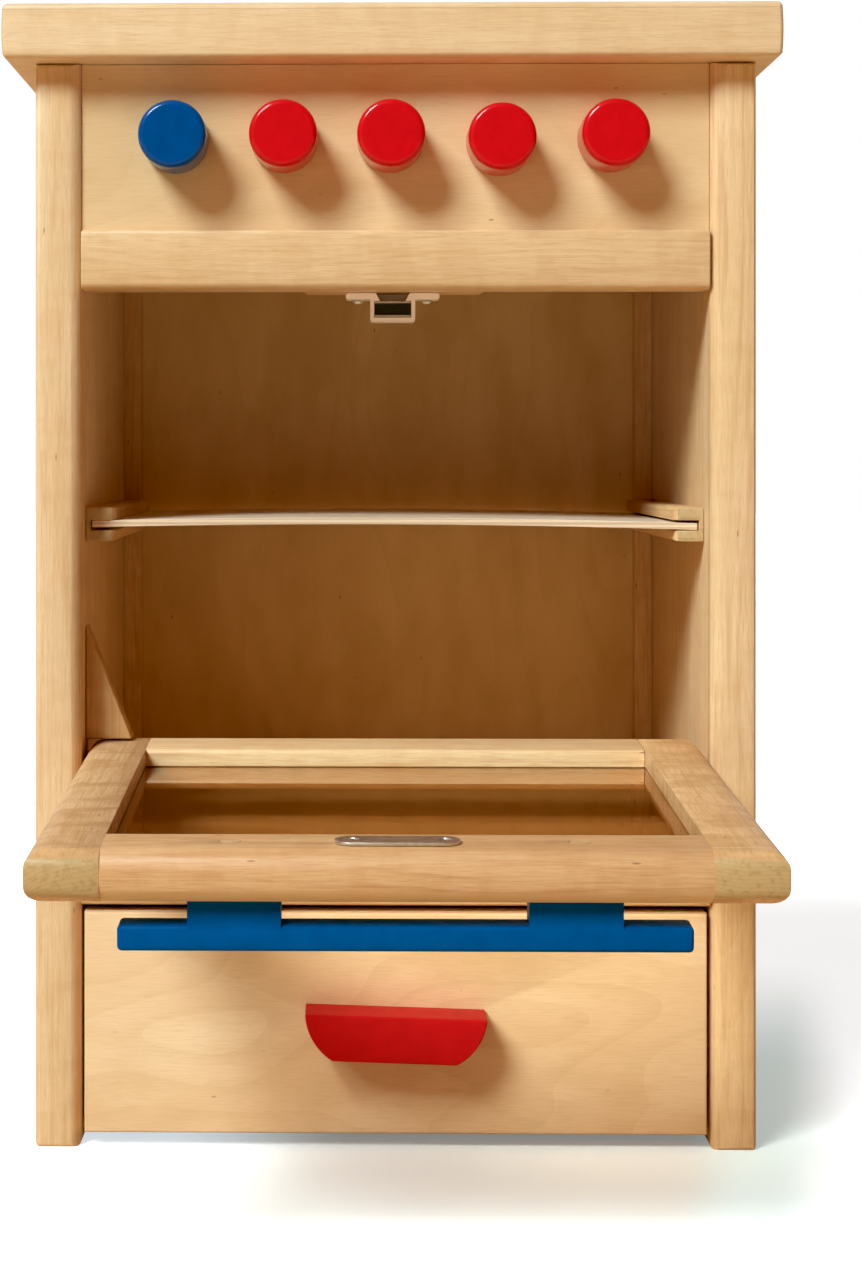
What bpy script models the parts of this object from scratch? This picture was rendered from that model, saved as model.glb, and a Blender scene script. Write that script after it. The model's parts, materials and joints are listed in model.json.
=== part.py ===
"""A wooden toy stove: cabinet, drop-down oven door, shelf, drawer and five turning knobs.

Metres, +Z up, the front towards -Y. The door stands open on its stop.
"""

import math

import bmesh
import bpy
from mathutils import Matrix, Vector

# Cabinet sizes
STOVE_HEIGHT = 0.6027
CABINET_WIDTH = 0.381
CABINET_DEPTH = 0.268
PANEL_THICKNESS = 0.024
PANEL_OUTER_RADIUS = 0.003
PANEL_INNER_RADIUS = 0.0055
PANEL_FOOT_RADIUS = 0.002

WORKTOP_THICKNESS = 0.0287
WORKTOP_WIDTH = 0.408
WORKTOP_OFFSET = -0.0022
WORKTOP_FRONT_OVERHANG = 0.017
WORKTOP_REAR_OVERHANG = 0.002
WORKTOP_EDGE_RADIUS = 0.003

RAIL_THICKNESS = 0.024
CONTROL_HEIGHT = 0.0882
RAIL_WIDTH = 0.0315
RAIL_LOWER_RADIUS = 0.004
RAIL_UPPER_RADIUS = 0.002

CONTROL_PANEL_SETBACK = 0.006
CONTROL_PANEL_THICKNESS = 0.009

SILL_EDGE_RADIUS = 0.003
OVEN_FLOOR_THICKNESS = 0.006
CLEAT_WIDTH = 0.016
CLEAT_HEIGHT = 0.012

BACK_PANEL_THICKNESS = 0.006
BACK_PANEL_FLOOR_GAP = 0.008
BACK_PANEL_REAR_SETBACK = 0.0007
BATTEN_WIDTH = 0.0105
BATTEN_DEPTH = 0.013
BATTEN_TOP_GAP = 0.010

# Shelf and its grooved runners
RUNNER_WIDTH = 0.016
RUNNER_HEIGHT = 0.0182
RUNNER_PLACE_SHARE = 0.5282
RUNNER_FRONT_SETBACK = 0.025
RUNNER_NOSE_RADIUS = 0.008
RUNNER_EDGE_RADIUS = 0.0015
GROOVE_HEIGHT = 0.0056
GROOVE_DEPTH = 0.0136
GROOVE_BELOW = 0.0058
SHELF_THICKNESS = 0.0038
SHELF_BOW = 0.0026
SHELF_END_PLAY = 0.0008
SHELF_FRONT_SETBACK = 0.026
SHELF_REAR_PLAY = 0.0015
SHELF_SECTION_STEPS = 16

# Door, measured along and across it from the pins that it turns on
DOOR_THICKNESS = 0.024
DOOR_SIDE_GAP = 0.0019
DOOR_TOP_GAP = 0.001
DOOR_BELOW_PIN = 0.027
DOOR_STILE_WIDTH = 0.0327
DOOR_TOP_RAIL_WIDTH = 0.0345
DOOR_BOTTOM_RAIL_WIDTH = 0.038
DOOR_NOSE_RADIUS = 0.010
DOOR_HEEL_RADIUS = 0.003
DOOR_OPEN_ANGLE = math.radians(93.3)
PIN_HEIGHT = 0.1992
PIN_RADIUS = 0.004
PIN_IN_PANEL = 0.012
PIN_IN_STILE = 0.020
SILL_CLEARANCE = 0.0008

WINDOW_THICKNESS = 0.004
WINDOW_INSET = 0.0092
WINDOW_TONGUE = 0.005

HANDLE_LENGTH = 0.251
HANDLE_WIDTH = 0.0158
HANDLE_BAR_THICKNESS = 0.0114
HANDLE_STANDOFF = 0.0118
HANDLE_FOOT_LENGTH = 0.0408
HANDLE_FOOT_SPACING = 0.1488
HANDLE_END_SETBACK = 0.0128
HANDLE_FOOT_INSET = 0.0001
HANDLE_EDGE_RADIUS = 0.002

PLUG_RADIUS = 0.0045
PLUG_DEPTH = 0.006
PLUG_SPACING = 0.1526

STRIKE_LENGTH = 0.055
STRIKE_WIDTH = 0.0145
STRIKE_THICKNESS = 0.0015
STRIKE_END_SETBACK = 0.0168
STRIKE_OFFSET = -0.0032
STRIKE_SCREW_SPACING = 0.040
STRIKE_SCREW_HEAD_RADIUS = 0.003
STRIKE_SCREW_SHANK_RADIUS = 0.0015
STRIKE_SCREW_LENGTH = 0.012

# Door stop and magnetic catch
STOP_WIDTH = 0.0250
STOP_HEIGHT = 0.062
STOP_THICKNESS = 0.016
STOP_DOOR_CLEARANCE = 0.0006
STOP_EDGE_RADIUS = 0.0012

CATCH_BLOCK_LENGTH = 0.098
CATCH_BLOCK_DEPTH = 0.0237
CATCH_BLOCK_HEIGHT = 0.020
CATCH_BLOCK_RADIUS = 0.0025

CATCH_OFFSET = -0.0007
CATCH_FLANGE_LENGTH = 0.0505
CATCH_FLANGE_THICKNESS = 0.0033
CATCH_BODY_WIDTH = 0.0242
CATCH_BODY_HEIGHT = 0.0153
CATCH_DEPTH = 0.016
CATCH_SIDE_WALL = 0.0021
CATCH_FLOOR_WALL = 0.0021
CATCH_REAR_WALL = 0.003
CATCH_CORNER_RADIUS = 0.0012
CATCH_NOTCH_TOP_WIDTH = 0.0182
CATCH_NOTCH_BOTTOM_WIDTH = 0.0138
CATCH_POLE_THICKNESS = 0.001
CATCH_POLE_PROUD = 0.0007
CATCH_MAGNET_HEIGHT = 0.0058
CATCH_MAGNET_RECESS = 0.001
CATCH_STRIKE_GAP = 0.0005
CATCH_SCREW_SPACING = 0.0372
CATCH_SCREW_HEAD_RADIUS = 0.003
CATCH_SCREW_HEAD_HEIGHT = 0.0018
CATCH_SCREW_SHANK_RADIUS = 0.0015
CATCH_SCREW_LENGTH = 0.012

# Drawer
DRAWER_FRONT_BOTTOM_HEIGHT = 0.0077
DRAWER_FRONT_HEIGHT = 0.1170
DRAWER_FRONT_THICKNESS = 0.016
DRAWER_FRONT_RADIUS = 0.002
DRAWER_SIDE_GAP = 0.0020
DRAWER_TOP_GAP = 0.0035
DRAWER_BOX_SIDE_GAP = 0.005
DRAWER_BOX_HEIGHT = 0.0896
DRAWER_BOX_DEPTH = 0.220
DRAWER_WALL = 0.009
DRAWER_BOX_RADIUS = 0.001
DRAWER_BOTTOM_THICKNESS = 0.004
DRAWER_BOTTOM_LIFT = 0.0056
DRAWER_GROOVE_DEPTH = 0.0045
DRAWER_BACK_DROP = 0.006
DRAWER_RUNNER_WIDTH = 0.015
DRAWER_RUNNER_HEIGHT = 0.0117
DRAWER_RUNNER_BOTTOM_HEIGHT = 0.0084
DRAWER_RUNNER_SETBACK = 0.020
DRAWER_RUNNER_REAR_GAP = 0.004

PULL_TOP_WIDTH = 0.0946
PULL_BOTTOM_WIDTH = 0.0644
PULL_HEIGHT = 0.0240
PULL_BULGE = 0.0036
PULL_THICKNESS = 0.026
PULL_TOP_EDGE_HEIGHT = 0.0755
PULL_OFFSET = -0.0002
PULL_TILT = math.radians(1.7)
PULL_EDGE_RADIUS = 0.0006
PULL_SCREW_SPACING = 0.040
PULL_SCREW_HEAD_RADIUS = 0.0035
PULL_SCREW_HEAD_HEIGHT = 0.0022
PULL_SCREW_SHANK_RADIUS = 0.002
PULL_SCREW_BITE = 0.014

# Knobs
KNOB_COUNT = 5
KNOB_RADIUS = 0.01775
KNOB_LENGTH = 0.0302
KNOB_PITCH = 0.0575
KNOB_ROW_OFFSET = -0.0014
KNOB_ABOVE_RAIL = 0.0477
KNOB_DRIFTS = (
    (0.0001, 0.0),
    (0.0003, 0.0003),
    (-0.001, 0.0003),
    (-0.0008, -0.0016),
    (0.0005, 0.0003),
)
KNOB_PANEL_GAP = 0.0008
KNOB_FRONT_RADIUS = 0.0035
KNOB_REAR_RADIUS = 0.0015
SPINDLE_RADIUS = 0.005
SPINDLE_IN_KNOB = 0.018
SPINDLE_PLAY = 0.0004
SPINDLE_COLLAR_RADIUS = 0.009
SPINDLE_COLLAR_THICKNESS = 0.005

# Clearances, cuts and facets
FIT_GAP = 0.0003
CUT_OVERRUN = 0.005
MERGE_DISTANCE = 0.00001
FLAT_ANGLE = math.radians(0.5)
SMOOTH_ANGLE = math.radians(40)
ROUND_SIDES = 20
KNOB_SIDES = 32
ARC_STEPS = 8
FILLET_STEPS = 4
EDGE_SEGMENTS = 2
NOSE_SEGMENTS = 5

# Places worked out from the sizes
INNER_HALF = CABINET_WIDTH / 2 - PANEL_THICKNESS
FITTED_HALF = INNER_HALF - FIT_GAP
CARCASS_TOP = STOVE_HEIGHT - WORKTOP_THICKNESS - FIT_GAP
RAIL_TOP_HEIGHT = CARCASS_TOP - CONTROL_HEIGHT
RAIL_BOTTOM_HEIGHT = RAIL_TOP_HEIGHT - RAIL_WIDTH
KNOB_HEIGHT = RAIL_TOP_HEIGHT + KNOB_ABOVE_RAIL
PIN_SETBACK = DOOR_THICKNESS / 2
BACK_PANEL_FRONT = CABINET_DEPTH - BACK_PANEL_REAR_SETBACK - BACK_PANEL_THICKNESS
BATTEN_FRONT = BACK_PANEL_FRONT - FIT_GAP - BATTEN_DEPTH
DOOR_HALF_THICKNESS = DOOR_THICKNESS / 2
DOOR_HALF_WIDTH = INNER_HALF - DOOR_SIDE_GAP
DOOR_INNER_HALF = DOOR_HALF_WIDTH - DOOR_STILE_WIDTH
DOOR_ABOVE_PIN = RAIL_BOTTOM_HEIGHT - DOOR_TOP_GAP - PIN_HEIGHT
WINDOW_BOTTOM = DOOR_BOTTOM_RAIL_WIDTH - DOOR_BELOW_PIN
WINDOW_TOP = DOOR_ABOVE_PIN - DOOR_TOP_RAIL_WIDTH
WINDOW_FACE = DOOR_HALF_THICKNESS - WINDOW_INSET
HEEL_ALONG = DOOR_BELOW_PIN - DOOR_HEEL_RADIUS
HEEL_ACROSS = DOOR_HALF_THICKNESS - DOOR_HEEL_RADIUS
HEEL_SWING = math.hypot(HEEL_ALONG, HEEL_ACROSS) + DOOR_HEEL_RADIUS
SILL_TOP = PIN_HEIGHT - HEEL_SWING - SILL_CLEARANCE
DRAWER_FRONT_TOP = DRAWER_FRONT_BOTTOM_HEIGHT + DRAWER_FRONT_HEIGHT
DRAWER_RUNNER_TOP = DRAWER_RUNNER_BOTTOM_HEIGHT + DRAWER_RUNNER_HEIGHT
DRAWER_BOX_BOTTOM = DRAWER_RUNNER_TOP + FIT_GAP
DRAWER_FLOOR_BOTTOM = DRAWER_BOX_BOTTOM + DRAWER_BOTTOM_LIFT
DRAWER_FLOOR_TOP = DRAWER_FLOOR_BOTTOM + DRAWER_BOTTOM_THICKNESS
DRAWER_BOX_FRONT = DRAWER_FRONT_THICKNESS + FIT_GAP
DRAWER_BOX_REAR = DRAWER_BOX_FRONT + DRAWER_BOX_DEPTH
DRAWER_BOX_HALF = INNER_HALF - DRAWER_BOX_SIDE_GAP
STRIKE_HEIGHT = DOOR_ABOVE_PIN - STRIKE_END_SETBACK
STRIKE_FACE = DOOR_HALF_THICKNESS + FIT_GAP + STRIKE_THICKNESS
CATCH_FRONT = PIN_SETBACK + STRIKE_FACE + CATCH_STRIKE_GAP + CATCH_POLE_PROUD
CATCH_TOP = RAIL_BOTTOM_HEIGHT - FIT_GAP
HANDLE_HEIGHT = DOOR_ABOVE_PIN - HANDLE_END_SETBACK - HANDLE_WIDTH / 2
RUNNER_BOTTOM_HEIGHT = SILL_TOP + RUNNER_PLACE_SHARE * (RAIL_BOTTOM_HEIGHT - SILL_TOP)
GROOVE_BOTTOM_HEIGHT = RUNNER_BOTTOM_HEIGHT + GROOVE_BELOW

# The frame's origin lies under the middle of the stove with its door open
NOSE_CENTRE = DOOR_ABOVE_PIN - DOOR_NOSE_RADIUS
DOOR_REACH = (
    NOSE_CENTRE * math.sin(DOOR_OPEN_ANGLE)
    - (DOOR_HALF_THICKNESS - DOOR_NOSE_RADIUS) * math.cos(DOOR_OPEN_ANGLE)
    + DOOR_NOSE_RADIUS
    - PIN_SETBACK
)
FRAME_SHIFT = (DOOR_REACH - CABINET_DEPTH - WORKTOP_REAR_OVERHANG) / 2


def clear_scene():
    for obj in list(bpy.data.objects):
        bpy.data.objects.remove(obj, do_unlink=True)


def new_collection(name):
    collection = bpy.data.collections.new(name)
    bpy.context.scene.collection.children.link(collection)
    return collection


def material(name, colour, roughness, metallic=0.0, transmission=0.0):
    made = bpy.data.materials.new(name)
    made.use_nodes = True
    shader = made.node_tree.nodes["Principled BSDF"]
    shader.inputs["Base Color"].default_value = (*colour, 1.0)
    shader.inputs["Roughness"].default_value = roughness
    shader.inputs["Metallic"].default_value = metallic
    shader.inputs["Transmission Weight"].default_value = transmission
    return made


def empty(name, parent, location, tilt=0.0):
    made = bpy.data.objects.new(name, None)
    made.location = location
    made.rotation_euler.x = tilt
    made.parent = parent
    parts.objects.link(made)
    return made


clear_scene()
parts = new_collection("toy_stove")
cutters = new_collection("cutters")

solid_wood = material("solid_wood", (0.80, 0.53, 0.27), 0.45)
door_wood = material("door_wood", (0.74, 0.45, 0.20), 0.45)
ply = material("ply", (0.78, 0.52, 0.27), 0.50)
inner_wood = material("inner_wood", (0.68, 0.42, 0.19), 0.55)
blue_paint = material("blue_paint", (0.003, 0.075, 0.24), 0.40)
red_paint = material("red_paint", (0.62, 0.010, 0.015), 0.40)
clear_sheet = material("clear_sheet", (0.80, 0.75, 0.68), 0.05, transmission=0.9)
nickel = material("nickel", (0.62, 0.58, 0.52), 0.28, metallic=1.0)
cream_plastic = material("cream_plastic", (0.80, 0.68, 0.54), 0.40)
ferrite = material("ferrite", (0.03, 0.028, 0.026), 0.70)

origin = empty("toy_stove_origin", None, (0, FRAME_SHIFT, 0))
door_axis = empty("door_axis", origin, (0, PIN_SETBACK, PIN_HEIGHT), DOOR_OPEN_ANGLE)
drawer_axis = empty("drawer_axis", origin, (0, 0, DRAWER_BOX_BOTTOM))
catch_place = empty("catch_place", origin, (CATCH_OFFSET, 0, 0))
shelf_axis = empty("shelf_axis", origin, (0, 0, GROOVE_BOTTOM_HEIGHT + FIT_GAP))


def place(name, mesh, look, parent):
    """Makes the mesh a named piece, or a hidden cutter if it has no look."""
    obj = bpy.data.objects.new(name, mesh)
    obj.parent = parent
    if look is None:
        cutters.objects.link(obj)
        obj.hide_render = True
        obj.display_type = "WIRE"
    else:
        parts.objects.link(obj)
        mesh.materials.append(look)
    return obj


def box_mesh(name, low, high):
    low, high = Vector(low), Vector(high)
    form = bmesh.new()
    bmesh.ops.create_cube(form, size=1.0)
    bmesh.ops.scale(form, vec=high - low, verts=form.verts)
    bmesh.ops.translate(form, vec=(low + high) / 2, verts=form.verts)
    mesh = bpy.data.meshes.new(name)
    form.to_mesh(mesh)
    form.free()
    return mesh


def on_face(point, face, low, high):
    """True if the point lies on the box face that is named by an axis and a sign, such as x-."""
    axis = "xyz".index(face[0])
    wanted = high[axis] if face[1] == "+" else low[axis]
    return math.isclose(point[axis], wanted, abs_tol=MERGE_DISTANCE)


def add_bevel(obj, width, segments, limit="ANGLE"):
    bevel = obj.modifiers.new("rounded edges", "BEVEL")
    bevel.width = width
    bevel.segments = segments
    bevel.limit_method = limit
    return bevel


def round_box_edges(obj, low, high, radii, segments):
    """Rounds box edges. Each edge is named by its two faces, such as y-z+, with its radius."""
    widest = max(radii.values())
    weights = obj.data.attributes.new("bevel_weight_edge", "FLOAT", "EDGE")
    for edge in obj.data.edges:
        ends = [obj.data.vertices[i].co for i in edge.vertices]
        for faces, radius in radii.items():
            if all(on_face(end, face, low, high) for end in ends for face in (faces[:2], faces[2:])):
                weights.data[edge.index].value = radius / widest
    add_bevel(obj, widest, segments, "WEIGHT")


def board(name, low, high, look, parent=origin, radii=None, segments=EDGE_SEGMENTS):
    """A board between two corners, with the named edges rounded."""
    obj = place(name, box_mesh(name, low, high), look, parent)
    if radii:
        round_box_edges(obj, low, high, radii, segments)
    return obj


def all_edges(radius):
    pairs = [("x", "y"), ("x", "z"), ("y", "z")]
    return {f"{a}{s}{b}{t}": radius for a, b in pairs for s in "-+" for t in "-+"}


def rod_mesh(name, radius, start, end, sides=ROUND_SIDES):
    """A cylinder from one point to another."""
    start, end = Vector(start), Vector(end)
    form = bmesh.new()
    bmesh.ops.create_cone(
        form,
        cap_ends=True,
        segments=sides,
        radius1=radius,
        radius2=radius,
        depth=(end - start).length,
    )
    turn = (end - start).to_track_quat("Z", "Y").to_matrix().to_4x4()
    bmesh.ops.transform(form, matrix=Matrix.Translation((start + end) / 2) @ turn, verts=form.verts)
    mesh = bpy.data.meshes.new(name)
    form.to_mesh(mesh)
    form.free()
    mesh.shade_smooth()
    mesh.set_sharp_from_angle(angle=SMOOTH_ANGLE)
    return mesh


def rod(name, radius, start, end, look, parent=origin):
    return place(name, rod_mesh(name, radius, start, end), look, parent)


def plate(name, outline, thickness, matrix, look, parent=origin):
    """A flat outline with half its thickness on each side, placed by a matrix."""
    curve = bpy.data.curves.new(name, "CURVE")
    curve.dimensions = "2D"
    curve.fill_mode = "BOTH"
    curve.extrude = thickness / 2
    spline = curve.splines.new("POLY")
    spline.points.add(len(outline) - 1)
    for point, (across, along) in zip(spline.points, outline):
        point.co = (across, along, 0, 1)
    spline.use_cyclic_u = True
    flat = bpy.data.objects.new(name, curve)
    parts.objects.link(flat)
    graph = bpy.context.evaluated_depsgraph_get()
    mesh = bpy.data.meshes.new_from_object(flat.evaluated_get(graph))
    bpy.data.objects.remove(flat, do_unlink=True)
    form = bmesh.new()
    form.from_mesh(mesh)
    bmesh.ops.remove_doubles(form, verts=form.verts, dist=MERGE_DISTANCE)
    bmesh.ops.dissolve_limit(form, angle_limit=FLAT_ANGLE, verts=form.verts, edges=form.edges)
    bmesh.ops.transform(form, matrix=matrix, verts=form.verts)
    bmesh.ops.recalc_face_normals(form, faces=form.faces)
    form.to_mesh(mesh)
    form.free()
    mesh.name = name
    return place(name, mesh, look, parent)


def upright(across, back, up):
    """Stands a flat outline up in the X-Z plane at a place."""
    return Matrix.Translation((across, back, up)) @ Matrix.Rotation(math.pi / 2, 4, "X")


def combine(obj, other, operation):
    boolean = obj.modifiers.new(other.name, "BOOLEAN")
    boolean.operation = operation
    boolean.solver = "EXACT"
    boolean.object = other


def cut(obj, cutter):
    combine(obj, cutter, "DIFFERENCE")


def join(obj, other):
    combine(obj, other, "UNION")


def cut_box(obj, low, high):
    name = f"{obj.name}_recess"
    cut(obj, place(name, box_mesh(name, low, high), None, obj.parent))


def cut_rod(obj, radius, start, end):
    name = f"{obj.name}_bore"
    cut(obj, place(name, rod_mesh(name, radius, start, end), None, obj.parent))


def arc(centre, radius, start, end, steps=FILLET_STEPS):
    """Points along an arc, angles in degrees, ends included."""
    angles = [math.radians(start + (end - start) * i / steps) for i in range(steps + 1)]
    return [(centre[0] + radius * math.cos(a), centre[1] + radius * math.sin(a)) for a in angles]


def turned(name, profile, sides, look, parent, location=(0, 0, 0), axis_up=(0, 0, 1)):
    """A lathe-turned piece. The profile holds radius and height pairs from the top of the axis down."""
    mesh = bpy.data.meshes.new(name)
    mesh.from_pydata([(r, 0, h) for r, h in profile], [(i, i + 1) for i in range(len(profile) - 1)], [])
    obj = place(name, mesh, look, parent)
    obj.location = location
    obj.rotation_mode = "QUATERNION"
    obj.rotation_quaternion = Vector(axis_up).to_track_quat("Z", "Y")
    screw = obj.modifiers.new("turning", "SCREW")
    screw.steps = sides
    screw.render_steps = sides
    screw.use_merge_vertices = True
    screw.merge_threshold = MERGE_DISTANCE
    screw.use_smooth_shade = True
    return obj


def screw_profile(head_radius, head_height, shank_radius, length):
    """A domed head standing on height zero, with its shank below."""
    return [
        (0, head_height),
        (head_radius / 2, head_height),
        (head_radius, head_height / 2),
        (head_radius, 0),
        (shank_radius, 0),
        (shank_radius, shank_radius - length),
        (0, -length),
    ]


def side_name(side):
    return "left" if side < 0 else "right"


def mirrored(side, near, far, back_low, back_high, low, high):
    """Two box corners on one side of the middle, from the distances of their near and far faces."""
    across = sorted((side * near, side * far))
    return (across[0], back_low, low), (across[1], back_high, high)


def outward(side):
    return "x-" if side < 0 else "x+"


def inward(side):
    return "x+" if side < 0 else "x-"


# Cabinet
def build_worktop():
    left = WORKTOP_OFFSET - WORKTOP_WIDTH / 2
    low = (left, -WORKTOP_FRONT_OVERHANG, STOVE_HEIGHT - WORKTOP_THICKNESS)
    high = (left + WORKTOP_WIDTH, CABINET_DEPTH + WORKTOP_REAR_OVERHANG, STOVE_HEIGHT)
    board("worktop", low, high, solid_wood, radii=all_edges(WORKTOP_EDGE_RADIUS), segments=3)


def build_side_panel(side):
    low, high = mirrored(side, INNER_HALF, CABINET_WIDTH / 2, 0, CABINET_DEPTH, 0, CARCASS_TOP)
    radii = {
        f"{inward(side)}y-": PANEL_INNER_RADIUS,
        f"{outward(side)}y-": PANEL_OUTER_RADIUS,
        f"{outward(side)}y+": PANEL_FOOT_RADIUS,
        "y-z-": PANEL_FOOT_RADIUS,
        "y+z-": PANEL_FOOT_RADIUS,
        "y-z+": PANEL_OUTER_RADIUS,
        f"{outward(side)}z-": PANEL_FOOT_RADIUS,
        f"{inward(side)}z-": PANEL_FOOT_RADIUS,
    }
    panel = board(f"side_panel_{side_name(side)}", low, high, solid_wood, radii=radii, segments=3)
    cut_rod(
        panel,
        PIN_RADIUS + FIT_GAP,
        (side * (INNER_HALF - CUT_OVERRUN), PIN_SETBACK, PIN_HEIGHT),
        (side * (INNER_HALF + PIN_IN_PANEL + FIT_GAP), PIN_SETBACK, PIN_HEIGHT),
    )


def build_hinge_pin(side):
    outer = INNER_HALF + PIN_IN_PANEL
    inner = DOOR_HALF_WIDTH - PIN_IN_STILE
    rod(
        f"hinge_pin_{side_name(side)}",
        PIN_RADIUS,
        (side * inner, PIN_SETBACK, PIN_HEIGHT),
        (side * outer, PIN_SETBACK, PIN_HEIGHT),
        inner_wood,
    )


def build_front_rail():
    low = (-FITTED_HALF, 0, RAIL_BOTTOM_HEIGHT)
    high = (FITTED_HALF, RAIL_THICKNESS, RAIL_TOP_HEIGHT)
    radii = {"y-z-": RAIL_LOWER_RADIUS, "y-z+": RAIL_UPPER_RADIUS}
    board("front_rail", low, high, solid_wood, radii=radii, segments=3)


def knob_places():
    middle = (KNOB_COUNT - 1) / 2
    row = [KNOB_ROW_OFFSET + (i - middle) * KNOB_PITCH for i in range(KNOB_COUNT)]
    return [(x + across, KNOB_HEIGHT + up) for x, (across, up) in zip(row, KNOB_DRIFTS)]


def build_control_panel():
    front = CONTROL_PANEL_SETBACK
    back = front + CONTROL_PANEL_THICKNESS
    low = (-FITTED_HALF, front, RAIL_TOP_HEIGHT + FIT_GAP)
    panel = board("control_panel", low, (FITTED_HALF, back, CARCASS_TOP), ply)
    for across, height in knob_places():
        cut_rod(
            panel,
            SPINDLE_RADIUS + SPINDLE_PLAY,
            (across, front - CUT_OVERRUN, height),
            (across, back + CUT_OVERRUN, height),
        )


def build_sill_rail():
    low = (-FITTED_HALF, 0, DRAWER_FRONT_TOP + DRAWER_TOP_GAP)
    high = (FITTED_HALF, RAIL_THICKNESS, SILL_TOP)
    radii = {"y-z-": SILL_EDGE_RADIUS, "y-z+": SILL_EDGE_RADIUS}
    board("sill_rail", low, high, solid_wood, radii=radii)


def build_oven_floor():
    low = (-FITTED_HALF, RAIL_THICKNESS + FIT_GAP, SILL_TOP - OVEN_FLOOR_THICKNESS)
    board("oven_floor", low, (FITTED_HALF, BACK_PANEL_FRONT - FIT_GAP, SILL_TOP), ply)


def build_floor_cleat(side):
    top = SILL_TOP - OVEN_FLOOR_THICKNESS - FIT_GAP
    low, high = mirrored(
        side,
        FITTED_HALF - CLEAT_WIDTH,
        FITTED_HALF,
        RAIL_THICKNESS + FIT_GAP,
        BATTEN_FRONT,
        top - CLEAT_HEIGHT,
        top,
    )
    board(f"floor_cleat_{side_name(side)}", low, high, inner_wood)


def build_back_panel():
    low = (-FITTED_HALF, BACK_PANEL_FRONT, BACK_PANEL_FLOOR_GAP)
    board("back_panel", low, (FITTED_HALF, BACK_PANEL_FRONT + BACK_PANEL_THICKNESS, CARCASS_TOP), ply)


def build_back_batten(side):
    low, high = mirrored(
        side,
        FITTED_HALF - BATTEN_WIDTH,
        FITTED_HALF,
        BATTEN_FRONT,
        BATTEN_FRONT + BATTEN_DEPTH,
        SILL_TOP + FIT_GAP,
        CARCASS_TOP - BATTEN_TOP_GAP,
    )
    board(f"back_batten_{side_name(side)}", low, high, inner_wood)


# Shelf and its runners
def build_runner(side):
    rear = BATTEN_FRONT - FIT_GAP
    low, high = mirrored(
        side,
        FITTED_HALF - RUNNER_WIDTH,
        FITTED_HALF,
        RUNNER_FRONT_SETBACK,
        rear,
        RUNNER_BOTTOM_HEIGHT,
        RUNNER_BOTTOM_HEIGHT + RUNNER_HEIGHT,
    )
    radii = {
        f"{inward(side)}y-": RUNNER_NOSE_RADIUS,
        f"{inward(side)}z-": RUNNER_EDGE_RADIUS,
        f"{inward(side)}z+": RUNNER_EDGE_RADIUS,
    }
    runner = board(f"runner_{side_name(side)}", low, high, solid_wood, radii=radii, segments=FILLET_STEPS)
    cut_box(
        runner,
        *mirrored(
            side,
            FITTED_HALF - RUNNER_WIDTH - CUT_OVERRUN,
            FITTED_HALF - RUNNER_WIDTH + GROOVE_DEPTH,
            RUNNER_FRONT_SETBACK - CUT_OVERRUN,
            rear + CUT_OVERRUN,
            GROOVE_BOTTOM_HEIGHT,
            GROOVE_BOTTOM_HEIGHT + GROOVE_HEIGHT,
        ),
    )


def build_shelf():
    """The shelf's section bows up by a parabola between its ends, which stay level with the grooves."""
    half = FITTED_HALF - RUNNER_WIDTH + GROOVE_DEPTH - SHELF_END_PLAY
    depth = BATTEN_FRONT - SHELF_REAR_PLAY - SHELF_FRONT_SETBACK
    places = [2 * i / SHELF_SECTION_STEPS - 1 for i in range(SHELF_SECTION_STEPS + 1)]
    under = [(place_share * half, SHELF_BOW * (1 - place_share**2)) for place_share in places]
    over = [(across, rise + SHELF_THICKNESS) for across, rise in reversed(under)]
    middle = SHELF_FRONT_SETBACK + depth / 2
    plate("shelf", under + over, depth, upright(0, middle, 0), ply, shelf_axis)


# Door, modelled upright about its pins and tipped open by its axis
def door_board(name, low, high, radii):
    half = DOOR_HALF_THICKNESS
    return board(
        name,
        (low[0], -half, low[1]),
        (high[0], half, high[1]),
        door_wood,
        door_axis,
        radii,
        NOSE_SEGMENTS,
    )


def window_groove(obj):
    """Cuts the groove that holds the window, in whichever frame member the groove's box meets."""
    reach = WINDOW_TONGUE + FIT_GAP
    cut_box(
        obj,
        (-DOOR_INNER_HALF - reach, WINDOW_FACE - WINDOW_THICKNESS - FIT_GAP, WINDOW_BOTTOM - reach),
        (DOOR_INNER_HALF + reach, WINDOW_FACE + FIT_GAP, WINDOW_TOP + reach),
    )


def build_door_stile(side):
    across = sorted((side * DOOR_INNER_HALF, side * DOOR_HALF_WIDTH))
    radii = {
        f"{outward(side)}y-": DOOR_NOSE_RADIUS,
        f"{outward(side)}y+": DOOR_NOSE_RADIUS,
        "y-z+": DOOR_NOSE_RADIUS,
        "y+z+": DOOR_NOSE_RADIUS,
        "y-z-": DOOR_HEEL_RADIUS,
        "y+z-": DOOR_HEEL_RADIUS,
    }
    stile = door_board(
        f"door_stile_{side_name(side)}",
        (across[0], -DOOR_BELOW_PIN),
        (across[1], DOOR_ABOVE_PIN),
        radii,
    )
    window_groove(stile)
    cut_rod(
        stile,
        PIN_RADIUS + FIT_GAP,
        (side * (DOOR_HALF_WIDTH - PIN_IN_STILE - FIT_GAP), 0, 0),
        (side * (DOOR_HALF_WIDTH + CUT_OVERRUN), 0, 0),
    )


def build_door_bottom_rail():
    half = DOOR_INNER_HALF - FIT_GAP
    radii = {"y-z-": DOOR_HEEL_RADIUS, "y+z-": DOOR_HEEL_RADIUS}
    rail = door_board("door_bottom_rail", (-half, -DOOR_BELOW_PIN), (half, WINDOW_BOTTOM), radii)
    window_groove(rail)


def strike_screw_places():
    return [(STRIKE_OFFSET + side * STRIKE_SCREW_SPACING / 2, side_name(side)) for side in (-1, 1)]


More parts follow.
